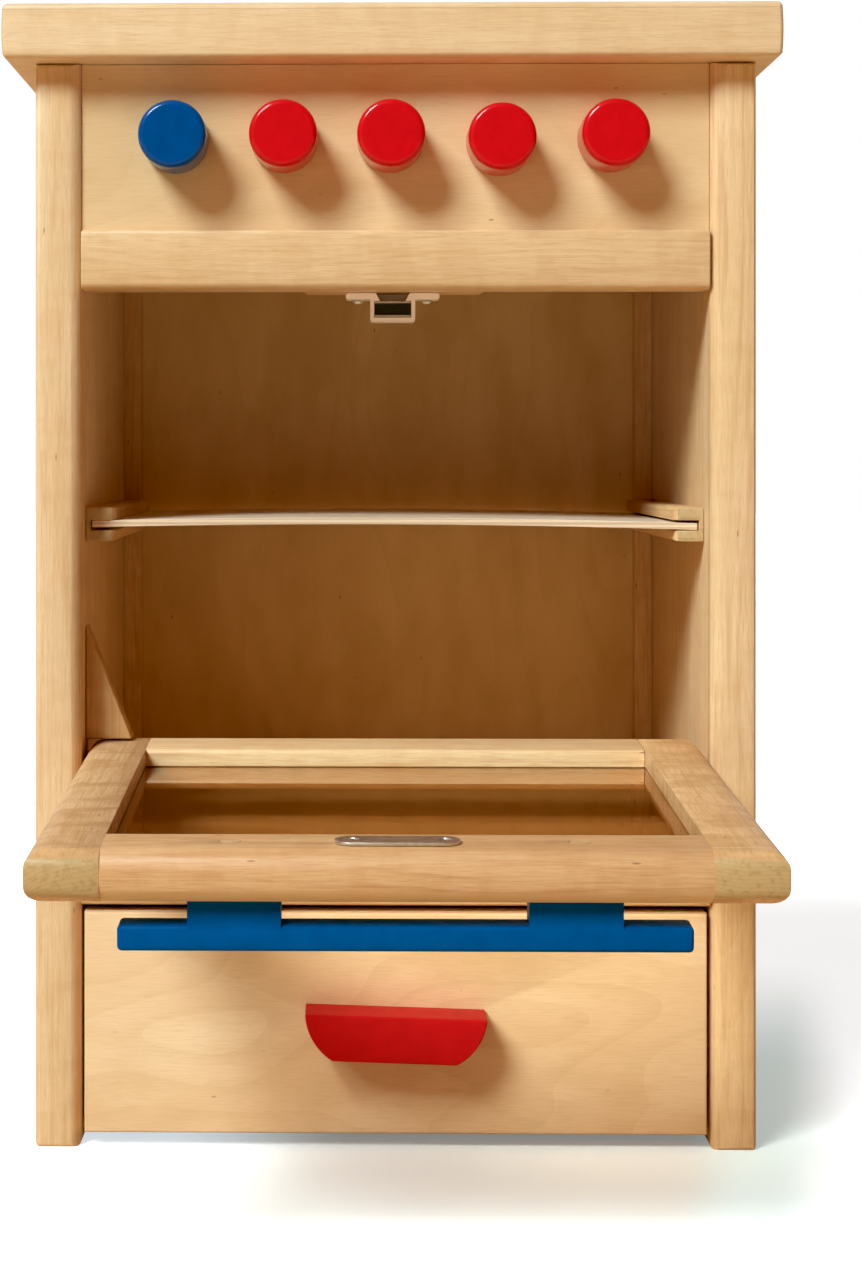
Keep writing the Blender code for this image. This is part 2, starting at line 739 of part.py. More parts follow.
def build_door_top_rail():
    half = DOOR_INNER_HALF - FIT_GAP
    radii = {"y-z+": DOOR_NOSE_RADIUS, "y+z+": DOOR_NOSE_RADIUS}
    rail = door_board("door_top_rail", (-half, WINDOW_TOP), (half, DOOR_ABOVE_PIN), radii)
    window_groove(rail)
    outside = DOOR_HALF_THICKNESS + CUT_OVERRUN
    for side in (-1, 1):
        across = side * PLUG_SPACING / 2
        floor = DOOR_HALF_THICKNESS - PLUG_DEPTH
        start = (across, floor, HANDLE_HEIGHT)
        end = (across, outside, HANDLE_HEIGHT)
        cut_rod(rail, PLUG_RADIUS + FIT_GAP, start, end)
    for across, _ in strike_screw_places():
        floor = DOOR_HALF_THICKNESS - STRIKE_SCREW_LENGTH
        cut_rod(
            rail,
            STRIKE_SCREW_SHANK_RADIUS + FIT_GAP,
            (across, floor, STRIKE_HEIGHT),
            (across, outside, STRIKE_HEIGHT),
        )


def build_door_window():
    half = DOOR_INNER_HALF + WINDOW_TONGUE
    low = (-half, WINDOW_FACE - WINDOW_THICKNESS, WINDOW_BOTTOM - WINDOW_TONGUE)
    board("door_window", low, (half, WINDOW_FACE, WINDOW_TOP + WINDOW_TONGUE), clear_sheet, door_axis)


def build_door_handle():
    """A round-edged bar joined to the two feet that hold it off the door."""
    seat = -DOOR_HALF_THICKNESS - FIT_GAP
    inner = -DOOR_HALF_THICKNESS - HANDLE_STANDOFF
    front = inner - HANDLE_BAR_THICKNESS
    half = HANDLE_WIDTH / 2
    handle = board(
        "door_handle",
        (-HANDLE_LENGTH / 2, front, HANDLE_HEIGHT - half),
        (HANDLE_LENGTH / 2, inner, HANDLE_HEIGHT + half),
        blue_paint,
        door_axis,
        all_edges(HANDLE_EDGE_RADIUS),
        FILLET_STEPS,
    )
    foot_half = half - HANDLE_FOOT_INSET
    for side in (-1, 1):
        low, high = mirrored(
            side,
            (HANDLE_FOOT_SPACING - HANDLE_FOOT_LENGTH) / 2,
            (HANDLE_FOOT_SPACING + HANDLE_FOOT_LENGTH) / 2,
            inner - HANDLE_BAR_THICKNESS / 2,
            seat,
            HANDLE_HEIGHT - foot_half,
            HANDLE_HEIGHT + foot_half,
        )
        join(handle, board(f"handle_foot_{side_name(side)}", low, high, None, door_axis))


def build_door_plug(side):
    across = side * PLUG_SPACING / 2
    rod(
        f"door_plug_{side_name(side)}",
        PLUG_RADIUS,
        (across, DOOR_HALF_THICKNESS - PLUG_DEPTH + FIT_GAP, HANDLE_HEIGHT),
        (across, DOOR_HALF_THICKNESS, HANDLE_HEIGHT),
        solid_wood,
        door_axis,
    )


def build_strike():
    """A steel plate with round ends, held by two screws."""
    radius = STRIKE_WIDTH / 2
    centre = (STRIKE_LENGTH - STRIKE_WIDTH) / 2
    outline = arc((centre, 0), radius, -90, 90, ARC_STEPS) + arc((-centre, 0), radius, 90, 270, ARC_STEPS)
    middle = STRIKE_FACE - STRIKE_THICKNESS / 2
    strike = plate(
        "strike_plate",
        outline,
        STRIKE_THICKNESS,
        upright(STRIKE_OFFSET, middle, STRIKE_HEIGHT),
        nickel,
        door_axis,
    )
    profile = screw_profile(
        STRIKE_SCREW_HEAD_RADIUS,
        STRIKE_THICKNESS - FIT_GAP,
        STRIKE_SCREW_SHANK_RADIUS,
        STRIKE_SCREW_LENGTH,
    )
    for across, word in strike_screw_places():
        cut_rod(
            strike,
            STRIKE_SCREW_HEAD_RADIUS + FIT_GAP,
            (across, middle - CUT_OVERRUN, STRIKE_HEIGHT),
            (across, middle + CUT_OVERRUN, STRIKE_HEIGHT),
        )
        seat = (across, DOOR_HALF_THICKNESS + FIT_GAP, STRIKE_HEIGHT)
        turned(f"strike_screw_{word}", profile, ROUND_SIDES, nickel, door_axis, seat, (0, 1, 0))


# Door stop
def build_stop_block():
    """A triangular block whose lower edge the open door's heel comes up against."""
    heel_centre = DOOR_BELOW_PIN - DOOR_HEEL_RADIUS
    heel_edge = DOOR_HALF_THICKNESS - DOOR_HEEL_RADIUS
    tip = DOOR_OPEN_ANGLE
    heel_top = PIN_HEIGHT - heel_centre * math.cos(tip) + heel_edge * math.sin(tip) + DOOR_HEEL_RADIUS
    bottom = heel_top + STOP_DOOR_CLEARANCE
    outline = [(0, 0), (STOP_WIDTH, 0), (0, STOP_HEIGHT)]
    front = DOOR_THICKNESS + STOP_DOOR_CLEARANCE
    block = plate(
        "stop_block",
        outline,
        STOP_THICKNESS,
        upright(-FITTED_HALF, front + STOP_THICKNESS / 2, bottom),
        solid_wood,
    )
    add_bevel(block, STOP_EDGE_RADIUS, EDGE_SEGMENTS)


# Magnetic catch
def catch_screw_places():
    return [(side * CATCH_SCREW_SPACING / 2, side_name(side)) for side in (-1, 1)]


def build_catch_block():
    front = RAIL_THICKNESS + FIT_GAP
    half = CATCH_BLOCK_LENGTH / 2
    low = (-half, front, RAIL_BOTTOM_HEIGHT)
    high = (half, front + CATCH_BLOCK_DEPTH, RAIL_BOTTOM_HEIGHT + CATCH_BLOCK_HEIGHT)
    radii = dict.fromkeys(("x-z-", "x+z-", "x-y+", "x+y+"), CATCH_BLOCK_RADIUS)
    block = board("catch_block", low, high, inner_wood, radii=radii)
    back = CATCH_FRONT + CATCH_DEPTH / 2
    top = CATCH_TOP - CATCH_FLANGE_THICKNESS + CATCH_SCREW_LENGTH
    for across, _ in catch_screw_places():
        cut_rod(
            block,
            CATCH_SCREW_SHANK_RADIUS + FIT_GAP,
            (CATCH_OFFSET + across, back, RAIL_BOTTOM_HEIGHT - CUT_OVERRUN),
            (CATCH_OFFSET + across, back, top),
        )


def build_catch_housing():
    """A moulded housing: flange and body in one, hollow for the magnet, with a notch open at the front."""
    flange_half = CATCH_FLANGE_LENGTH / 2
    body_half = CATCH_BODY_WIDTH / 2
    body_bottom = CATCH_TOP - CATCH_BODY_HEIGHT
    flange_bottom = CATCH_TOP - CATCH_FLANGE_THICKNESS
    flange_middle = CATCH_TOP - CATCH_FLANGE_THICKNESS / 2
    middle = CATCH_FRONT + CATCH_DEPTH / 2
    back = CATCH_FRONT + CATCH_DEPTH
    radius = CATCH_CORNER_RADIUS
    housing = board(
        "catch_housing",
        (-flange_half, CATCH_FRONT, flange_bottom),
        (flange_half, back, CATCH_TOP),
        cream_plastic,
        catch_place,
        {"x-z-": radius, "x+z-": radius, "x-z+": radius, "x+z+": radius},
    )
    body = board(
        "catch_body",
        (-body_half, CATCH_FRONT, body_bottom),
        (body_half, back, flange_middle),
        None,
        catch_place,
        {"x-z-": radius, "x+z-": radius},
    )
    join(housing, body)
    hollow_half = body_half - CATCH_SIDE_WALL
    hollow_bottom = body_bottom + CATCH_FLOOR_WALL
    hollow_top = hollow_bottom + CATCH_MAGNET_HEIGHT + 2 * CATCH_POLE_THICKNESS + 4 * FIT_GAP
    hollow_depth = CATCH_DEPTH - CATCH_REAR_WALL + CUT_OVERRUN
    notch_top_half = CATCH_NOTCH_TOP_WIDTH / 2
    notch_bottom_half = CATCH_NOTCH_BOTTOM_WIDTH / 2
    spread = CUT_OVERRUN * (notch_top_half - notch_bottom_half) / (CATCH_TOP - hollow_top)
    hollow_right = [
        (hollow_half, hollow_bottom),
        (hollow_half, hollow_top),
        (notch_bottom_half, hollow_top),
        (notch_top_half + spread, CATCH_TOP + CUT_OVERRUN),
    ]
    hollow_left = [(-across, up) for across, up in reversed(hollow_right)]
    hollow_place = upright(0, CATCH_FRONT - CUT_OVERRUN + hollow_depth / 2, 0)
    outline = hollow_right + hollow_left
    cut(housing, plate("catch_hollow", outline, hollow_depth, hollow_place, None, catch_place))
    for across, _ in catch_screw_places():
        cut_rod(
            housing,
            CATCH_SCREW_SHANK_RADIUS + FIT_GAP,
            (across, middle, flange_bottom - CUT_OVERRUN),
            (across, middle, CATCH_TOP + CUT_OVERRUN),
        )


def build_catch_insides():
    """The magnet between its two steel pole plates, stacked on the housing's floor."""
    half = CATCH_BODY_WIDTH / 2 - CATCH_SIDE_WALL - FIT_GAP
    back = CATCH_FRONT + CATCH_DEPTH - CATCH_REAR_WALL - FIT_GAP
    pole_front = CATCH_FRONT - CATCH_POLE_PROUD
    bottom = CATCH_TOP - CATCH_BODY_HEIGHT + CATCH_FLOOR_WALL + FIT_GAP
    stack = [
        ("catch_pole_lower", pole_front, CATCH_POLE_THICKNESS, nickel),
        ("catch_magnet", CATCH_FRONT + CATCH_MAGNET_RECESS, CATCH_MAGNET_HEIGHT, ferrite),
        ("catch_pole_upper", pole_front, CATCH_POLE_THICKNESS, nickel),
    ]
    for name, front, height, look in stack:
        board(name, (-half, front, bottom), (half, back, bottom + height), look, catch_place)
        bottom += height + FIT_GAP


def build_catch_screws():
    back = CATCH_FRONT + CATCH_DEPTH / 2
    seat = CATCH_TOP - CATCH_FLANGE_THICKNESS - FIT_GAP
    profile = screw_profile(
        CATCH_SCREW_HEAD_RADIUS,
        CATCH_SCREW_HEAD_HEIGHT,
        CATCH_SCREW_SHANK_RADIUS,
        CATCH_SCREW_LENGTH,
    )
    for across, word in catch_screw_places():
        place_at = (across, back, seat)
        turned(f"catch_screw_{word}", profile, ROUND_SIDES, nickel, catch_place, place_at, (0, 0, -1))


# Drawer, measured up from the bottom of its box
def build_drawer_runner(side):
    low, high = mirrored(
        side,
        FITTED_HALF - DRAWER_RUNNER_WIDTH,
        FITTED_HALF,
        DRAWER_RUNNER_SETBACK,
        BACK_PANEL_FRONT - DRAWER_RUNNER_REAR_GAP,
        DRAWER_RUNNER_BOTTOM_HEIGHT,
        DRAWER_RUNNER_TOP,
    )
    board(f"drawer_runner_{side_name(side)}", low, high, inner_wood)


def floor_groove(obj):
    """Cuts the groove that holds the drawer's floor, in whichever wall the groove's box meets."""
    reach = DRAWER_BOX_HALF - DRAWER_WALL + DRAWER_GROOVE_DEPTH
    cut_box(
        obj,
        (-reach, DRAWER_FRONT_THICKNESS - DRAWER_GROOVE_DEPTH, DRAWER_BOTTOM_LIFT - FIT_GAP),
        (reach, DRAWER_BOX_REAR + CUT_OVERRUN, DRAWER_BOTTOM_LIFT + DRAWER_BOTTOM_THICKNESS + FIT_GAP),
    )


def pull_screw_places():
    return [(PULL_OFFSET + side * PULL_SCREW_SPACING / 2, side_name(side)) for side in (-1, 1)]


def pull_middle():
    return PULL_TOP_EDGE_HEIGHT - PULL_HEIGHT / 2 - DRAWER_BOX_BOTTOM


def build_drawer_front():
    half = INNER_HALF - DRAWER_SIDE_GAP
    low = (-half, 0, DRAWER_FRONT_BOTTOM_HEIGHT - DRAWER_BOX_BOTTOM)
    high = (half, DRAWER_FRONT_THICKNESS, DRAWER_FRONT_TOP - DRAWER_BOX_BOTTOM)
    radii = {f"{face}y-": DRAWER_FRONT_RADIUS for face in ("x-", "x+")}
    radii.update({f"y-{face}": DRAWER_FRONT_RADIUS for face in ("z-", "z+")})
    front = board("drawer_front", low, high, ply, drawer_axis, radii)
    floor_groove(front)
    for across, _ in pull_screw_places():
        cut_rod(
            front,
            PULL_SCREW_SHANK_RADIUS + FIT_GAP,
            (across, -CUT_OVERRUN, pull_middle()),
            (across, DRAWER_FRONT_THICKNESS + CUT_OVERRUN, pull_middle()),
        )


def build_drawer_side(side):
    low, high = mirrored(
        side,
        DRAWER_BOX_HALF - DRAWER_WALL,
        DRAWER_BOX_HALF,
        DRAWER_BOX_FRONT,
        DRAWER_BOX_REAR,
        0,
        DRAWER_BOX_HEIGHT,
    )
    radii = {f"{face}z+": DRAWER_BOX_RADIUS for face in ("x-", "x+")}
    wall = board(f"drawer_side_{side_name(side)}", low, high, inner_wood, drawer_axis, radii)
    floor_groove(wall)


def build_drawer_back():
    half = DRAWER_BOX_HALF - DRAWER_WALL - FIT_GAP
    bottom = DRAWER_BOTTOM_LIFT + DRAWER_BOTTOM_THICKNESS + FIT_GAP
    low = (-half, DRAWER_BOX_REAR - DRAWER_WALL, bottom)
    high = (half, DRAWER_BOX_REAR, DRAWER_BOX_HEIGHT - DRAWER_BACK_DROP)
    radii = {f"{face}z+": DRAWER_BOX_RADIUS for face in ("y-", "y+")}
    board("drawer_back", low, high, inner_wood, drawer_axis, radii)


def build_drawer_bottom():
    half = DRAWER_BOX_HALF - DRAWER_WALL + DRAWER_GROOVE_DEPTH - FIT_GAP
    low = (-half, DRAWER_FRONT_THICKNESS - DRAWER_GROOVE_DEPTH + FIT_GAP, DRAWER_BOTTOM_LIFT)
    high = (half, DRAWER_BOX_REAR, DRAWER_BOTTOM_LIFT + DRAWER_BOTTOM_THICKNESS)
    board("drawer_bottom", low, high, ply, drawer_axis)


def pull_side_arc():
    """The pull's right end, bottom to top: an arc that bulges out from the chord between its corners."""
    bottom = Vector((PULL_BOTTOM_WIDTH / 2, -PULL_HEIGHT / 2))
    top = Vector((PULL_TOP_WIDTH / 2, PULL_HEIGHT / 2))
    chord = top - bottom
    radius = chord.length**2 / (8 * PULL_BULGE) + PULL_BULGE / 2
    inward_normal = Vector((-chord.y, chord.x)).normalized()
    centre = (bottom + top) / 2 + inward_normal * (radius - PULL_BULGE)
    start = math.degrees(math.atan2(bottom.y - centre.y, bottom.x - centre.x))
    end = math.degrees(math.atan2(top.y - centre.y, top.x - centre.x))
    return arc(centre, radius, start, end, ARC_STEPS)


def build_drawer_pull():
    right = pull_side_arc()
    left = [(-across, up) for across, up in reversed(right)]
    middle = upright(PULL_OFFSET, -FIT_GAP - PULL_THICKNESS / 2, pull_middle())
    matrix = middle @ Matrix.Rotation(-PULL_TILT, 4, "Z")
    pull = plate("drawer_pull", right + left, PULL_THICKNESS, matrix, red_paint, drawer_axis)
    add_bevel(pull, PULL_EDGE_RADIUS, 1)
    for across, _ in pull_screw_places():
        cut_rod(
            pull,
            PULL_SCREW_SHANK_RADIUS + FIT_GAP,
            (across, CUT_OVERRUN, pull_middle()),
            (across, -FIT_GAP - PULL_SCREW_BITE, pull_middle()),
        )


def build_pull_screws():
    profile = screw_profile(
        PULL_SCREW_HEAD_RADIUS,
        PULL_SCREW_HEAD_HEIGHT,
        PULL_SCREW_SHANK_RADIUS,
        DRAWER_FRONT_THICKNESS + PULL_SCREW_BITE,
    )
    for across, word in pull_screw_places():
        seat = (across, DRAWER_FRONT_THICKNESS + FIT_GAP, pull_middle())
        turned(f"pull_screw_{word}", profile, ROUND_SIDES, nickel, drawer_axis, seat, (0, 1, 0))


# Knobs, turned about axes that point out of the control panel's face
def knob_profile():
    rear = KNOB_PANEL_GAP
    front = rear + KNOB_LENGTH
    bore = SPINDLE_RADIUS + FIT_GAP
    rim = KNOB_RADIUS - KNOB_FRONT_RADIUS
    heel = KNOB_RADIUS - KNOB_REAR_RADIUS
    return (
        [(0, front)]
        + arc((rim, front - KNOB_FRONT_RADIUS), KNOB_FRONT_RADIUS, 90, 0)
        + arc((heel, rear + KNOB_REAR_RADIUS), KNOB_REAR_RADIUS, 0, -90, EDGE_SEGMENTS)
        + [(bore, rear), (bore, rear + SPINDLE_IN_KNOB), (0, rear + SPINDLE_IN_KNOB)]
    )


def spindle_profile():
    collar_front = -CONTROL_PANEL_THICKNESS - SPINDLE_PLAY
    collar_back = collar_front - SPINDLE_COLLAR_THICKNESS
    tip = KNOB_PANEL_GAP + SPINDLE_IN_KNOB - FIT_GAP
    return [
        (0, tip),
        (SPINDLE_RADIUS, tip),
        (SPINDLE_RADIUS, collar_front),
        (SPINDLE_COLLAR_RADIUS, collar_front),
        (SPINDLE_COLLAR_RADIUS, collar_back),
        (0, collar_back),
    ]


def build_knobs():
    for number, (across, height) in enumerate(knob_places(), start=1):
        face = (across, CONTROL_PANEL_SETBACK, height)
        paint = blue_paint if number == 1 else red_paint
        turned(f"knob_{number}", knob_profile(), KNOB_SIDES, paint, origin, face, (0, -1, 0))
        turned(f"spindle_{number}", spindle_profile(), ROUND_SIDES, inner_wood, origin, face, (0, -1, 0))


build_worktop()
build_front_rail()
build_control_panel()
build_sill_rail()
build_oven_floor()
build_back_panel()
build_shelf()
build_door_bottom_rail()
build_door_top_rail()
build_door_window()
build_door_handle()
build_strike()
build_stop_block()
build_catch_block()
build_catch_housing()
build_catch_insides()
build_catch_screws()
build_drawer_front()
build_drawer_back()
build_drawer_bottom()
build_drawer_pull()
build_pull_screws()
build_knobs()
for panel_side in (-1, 1):
    build_side_panel(panel_side)
    build_hinge_pin(panel_side)
    build_floor_cleat(panel_side)
    build_back_batten(panel_side)
    build_runner(panel_side)
    build_door_stile(panel_side)
    build_door_plug(panel_side)
    build_drawer_runner(panel_side)
    build_drawer_side(panel_side)
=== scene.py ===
import json
import math

import bmesh
import bpy
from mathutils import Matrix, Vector


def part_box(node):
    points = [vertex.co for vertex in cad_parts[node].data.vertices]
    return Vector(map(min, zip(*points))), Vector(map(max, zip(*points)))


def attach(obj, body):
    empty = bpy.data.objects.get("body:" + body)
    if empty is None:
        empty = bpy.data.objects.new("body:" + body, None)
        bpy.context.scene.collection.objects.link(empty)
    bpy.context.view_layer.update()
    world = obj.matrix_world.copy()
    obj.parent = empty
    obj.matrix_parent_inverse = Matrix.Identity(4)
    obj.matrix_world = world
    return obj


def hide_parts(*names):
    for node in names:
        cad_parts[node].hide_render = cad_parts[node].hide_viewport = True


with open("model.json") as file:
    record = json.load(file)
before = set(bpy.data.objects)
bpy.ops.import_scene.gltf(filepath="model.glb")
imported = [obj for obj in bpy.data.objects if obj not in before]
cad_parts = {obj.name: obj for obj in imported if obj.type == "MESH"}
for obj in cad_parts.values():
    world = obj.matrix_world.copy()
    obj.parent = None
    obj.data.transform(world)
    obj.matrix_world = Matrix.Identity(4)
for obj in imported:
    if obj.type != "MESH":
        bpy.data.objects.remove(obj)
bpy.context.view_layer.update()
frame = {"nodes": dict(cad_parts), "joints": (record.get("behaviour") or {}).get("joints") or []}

scene = bpy.context.scene
pin = Vector(next(joint["pos_m"] for joint in frame["joints"] if joint["name"] == "door_hinge"))


def srgb(text):
    channels = [int(text[i:i + 2], 16) / 255 for i in (1, 3, 5)]
    return (*(c / 12.92 if c <= 0.04045 else ((c + 0.055) / 1.055) ** 2.4 for c in channels), 1.0)


def wire(tree, node, inputs):
    # a plain value is set on the socket; a node, a (node, output) pair or a list of nodes is linked to it
    for key, value in inputs.items():
        if isinstance(key, int):
            socket = node.inputs[key]
        else:
            socket = next(s for s in node.inputs if s.enabled and s.name == key)
        for source in value if isinstance(value, list) else [value]:
            if isinstance(source, bpy.types.Node):
                tree.links.new(next(s for s in source.outputs if s.enabled), socket)
            elif isinstance(source, tuple) and isinstance(source[0], bpy.types.Node):
                tree.links.new(source[0].outputs[source[1]], socket)
            else:
                socket.default_value = source


def addNode(tree, kind, inputs=None, **settings):
    # shader nodes, which also do the sums in Geometry Nodes, go by the rest of their name
    made = tree.nodes.new(kind if "Node" in kind else "ShaderNode" + kind)
    for key, value in settings.items():
        setattr(made, key, value)
    wire(tree, made, inputs or {})
    return made


def newFinish(name, **surface):
    finish = bpy.data.materials.new(name)
    finish.use_nodes = True
    shader = finish.node_tree.nodes["Principled BSDF"]
    for key, value in surface.items():
        shader.inputs[key.replace("_", " ")].default_value = value
    return finish, finish.node_tree, shader


# the door hangs a little below level, and its grain hangs with it
doorTilt = math.radians(3.3)
grainTurns = {
    "x": (0.0, 0.0, 0.0),
    "y": (0.0, 0.0, -math.pi / 2),
    "z": (0.0, math.pi / 2, 0.0),
    "doorX": (-doorTilt, 0.0, 0.0),
    "doorY": (-doorTilt, 0.0, -math.pi / 2),
}


def laidGrain(tree, place, grain, shiftMm, fields):
    # coordinates turned so that x runs along the grain, and a stretched noise for each field
    laid = addNode(tree, "Mapping", {
        "Vector": (place, "Object"), "Location": tuple(v / 1000 for v in shiftMm), "Rotation": grainTurns[grain],
    })
    grown = {}
    for key, (along, across, detail, rough) in fields.items():
        stretch = (1000 / along, 1000 / across, 1000 / across)
        scaled = addNode(tree, "VectorMath", {0: laid, 1: stretch}, operation="MULTIPLY")
        grown[key] = addNode(tree, "TexNoise", {"Vector": scaled, "Scale": 1.0, "Detail": detail, "Roughness": rough})
    return laid, grown


def toned(tree, colours, grown, layers):
    # the face colour, and over it each layer's colour where that layer's noise is high
    colour = srgb(colours[0])
    for key, low, high, depth, tint in layers:
        share = addNode(tree, "MapRange", {
            "Value": grown[key], "From Min": low, "From Max": high, "To Max": depth,
        }, interpolation_type="SMOOTHSTEP")
        colour = addNode(tree, "Mix", {"Factor": share, "A": colour, "B": srgb(colours[tint])}, data_type="RGBA")
    return colour


def flecked(tree, laid, lengthMm, widthMm, core, few, depth=0.7):
    # specks in the cores of a few of the cells that space is divided into, about twice too coarse so that they show
    stretch = (1000 / lengthMm, 1000 / widthMm, 1000 / widthMm)
    scaled = addNode(tree, "VectorMath", {0: laid, 1: stretch}, operation="MULTIPLY")
    cells = addNode(tree, "TexVoronoi", {"Vector": scaled, "Scale": 1.0}, feature="F1")
    centre = addNode(tree, "MapRange", {
        "Value": (cells, "Distance"), "From Min": core[0], "From Max": core[1], "To Min": depth, "To Max": 0.0,
    })
    pick = addNode(tree, "SeparateColor", {"Color": (cells, "Color")})
    kept = addNode(tree, "Math", {0: pick, 1: few}, operation="LESS_THAN")
    return addNode(tree, "Math", {0: centre, 1: kept}, operation="MULTIPLY")


def surfaced(tree, shader, colour, gloss, rough, height, relief, reliefMm, between=(0.0, 1.0)):
    # the roughness follows one noise from rough[0] to rough[1], and the relief another
    sheen = addNode(tree, "MapRange", {
        "Value": gloss, "From Min": between[0], "From Max": between[1], "To Min": rough[0], "To Max": rough[1],
    })
    bumps = addNode(tree, "Bump", {"Height": height, "Strength": relief, "Distance": reliefMm / 1000})
    wire(tree, shader, {"Base Color": colour, "Roughness": sheen, "Normal": bumps})


# millimetres along and across the grain, detail, roughness
grainMm = {
    "tone": (200, 26, 3.0, 0.55),
    "streak": (75, 2.4, 4.0, 0.65),
    "fibre": (15, 0.55, 4.0, 0.7),
    "figure": (13, 26, 2.0, 0.55),
    "bend": (240, 70, 1.0, 0.5),
}
ringLook = {"bendM": 0.04, "lateFrom": 0.45, "lateTo": 0.98, "patchFrom": 0.36, "patchTo": 0.60, "least": 0.25}
endLook = {"from": 0.62, "to": 0.84, "lines": 0.12, "poreScale": 420.0, "pores": 0.3}


def woodFinish(name, colours, grain, ringMm=5.0, pithMm=(70, 40), shiftMm=(0, 0, 0), tone=0.7, streak=0.35,
               ring=0.22, fibre=0.34, figure=0.16, flecks=0.05, ends=None, seamsAndPaintedLines=(), roughness=0.42,
               relief=0.15, coat=0.08):
    # clear satin lacquer on sanded wood: a soft sheen over long fibres, faint year rings and short brown flecks
    finish, tree, shader = newFinish(name, IOR=1.5, Coat_Weight=coat, Coat_Roughness=0.25, Specular_IOR_Level=0.35)
    place = addNode(tree, "TexCoord")
    laid, grown = laidGrain(tree, place, grain, shiftMm, grainMm)

    # year rings round a pith beside the board, bent slowly along it; the late wood ends each ring in a line
    bendBy = (0.0, ringLook["bendM"], ringLook["bendM"])
    bend = addNode(tree, "VectorMath", {0: (grown["bend"], "Color"), 1: bendBy}, operation="MULTIPLY")
    pith = (0.0, pithMm[0] / 1000, pithMm[1] / 1000)
    flat = laid
    for value, operation in ((bend, "ADD"), (pith, "ADD"), ((0.0, 1.0, 1.0), "MULTIPLY")):
        flat = addNode(tree, "VectorMath", {0: flat, 1: value}, operation=operation)
    reach = addNode(tree, "VectorMath", {0: flat}, operation="LENGTH")
    count = addNode(tree, "Math", {0: reach, 1: 1000 / ringMm}, operation="MULTIPLY")
    part = addNode(tree, "Math", {0: count}, operation="FRACT")
    late = addNode(tree, "MapRange", {
        "Value": part, "From Min": ringLook["lateFrom"], "From Max": ringLook["lateTo"], "To Max": ring,
    })
    patch = addNode(tree, "MapRange", {
        "Value": grown["streak"], "From Min": ringLook["patchFrom"], "From Max": ringLook["patchTo"],
        "To Min": ringLook["least"],
    })
    rings = addNode(tree, "Math", {0: late, 1: patch}, operation="MULTIPLY")

    # noise from, noise to, depth, which colour
    colour = toned(tree, colours, grown, (
        ("tone", 0.36, 0.64, tone, 1),
        ("figure", 0.42, 0.66, figure, 2),
        ("streak", 0.46, 0.68, streak, 2),
        ("fibre", 0.47, 0.62, fibre, 2),
    ))
    fleck = flecked(tree, laid, 15, 3.2, (0.06, 0.17), flecks)
    for share, tint in ((rings, 2), (fleck, 3)):
        colour = addNode(tree, "Mix", {"Factor": share, "A": colour, "B": srgb(colours[tint])}, data_type="RGBA")

    if ends:
        # end grain drinks more lacquer, so it is greyer and duller, with fine lines and pores across it
        turned = addNode(tree, "Mapping", {
            "Vector": (place, "Normal"), "Rotation": grainTurns[grain],
        }, vector_type="NORMAL")
        facing = addNode(tree, "SeparateXYZ", {"Vector": turned})
        along = addNode(tree, "Math", {0: (facing, "X")}, operation="ABSOLUTE")
        share = addNode(tree, "MapRange", {
            "Value": along, "From Min": endLook["from"], "From Max": endLook["to"],
        }, interpolation_type="SMOOTHSTEP")
        lines = addNode(tree, "MapRange", {"Value": part, "From Min": 0.3, "To Max": endLook["lines"]})
        pores = addNode(tree, "TexNoise", {"Vector": (place, "Object"), "Scale": endLook["poreScale"], "Detail": 2.0})
        dots = addNode(tree, "MapRange", {
            "Value": pores, "From Min": 0.5, "From Max": 0.8, "To Max": endLook["pores"],
        })
        endTone = srgb(ends)
        for dark in (lines, dots):
            endTone = addNode(tree, "Mix", {"Factor": dark, "A": endTone, "B": srgb(colours[3])}, data_type="RGBA")
        colour = addNode(tree, "Mix", {"Factor": share, "A": colour, "B": endTone}, data_type="RGBA")

    axes = addNode(tree, "SeparateXYZ", {"Vector": laid})
    for axis, atMm, widthMm, depth, tint in seamsAndPaintedLines:
        # glue lines between staves and dark lines where a routed edge starts; on the door, a painted highlight where
        # the stile's nose starts and a band of painted light on the rail's nose
        off = addNode(tree, "Math", {0: (axes, axis), 1: atMm / 1000}, operation="SUBTRACT")
        away = addNode(tree, "Math", {0: off}, operation="ABSOLUTE")
        line = addNode(tree, "MapRange", {
            "Value": away, "From Min": widthMm / 2500, "From Max": widthMm / 1500, "To Min": depth, "To Max": 0.0,
        })
        colour = addNode(tree, "Mix", {"Factor": line, "A": colour, "B": srgb(tint)}, data_type="RGBA")

    rough = (roughness - 0.05, roughness + 0.08)
    surfaced(tree, shader, colour, grown["fibre"], rough, grown["fibre"], relief, 0.12, between=(0.3, 0.7))
    return finish


plyMm = {
    "hills": (170, 70, 0.8, 0.4),
    "tone": (150, 40, 2.0, 0.5),
    "cloud": (60, 26, 2.0, 0.5),
    "fibre": (12, 0.6, 4.0, 0.7),
    "patch": (70, 30, 1.0, 0.5),
}
contourLook = {"count": 9.0, "from": 0.5, "to": 0.98}
plyEdgeLook = {"bandFrom": 0.46, "bandTo": 0.54, "band": 0.4, "faceFrom": 0.35, "faceTo": 0.62}


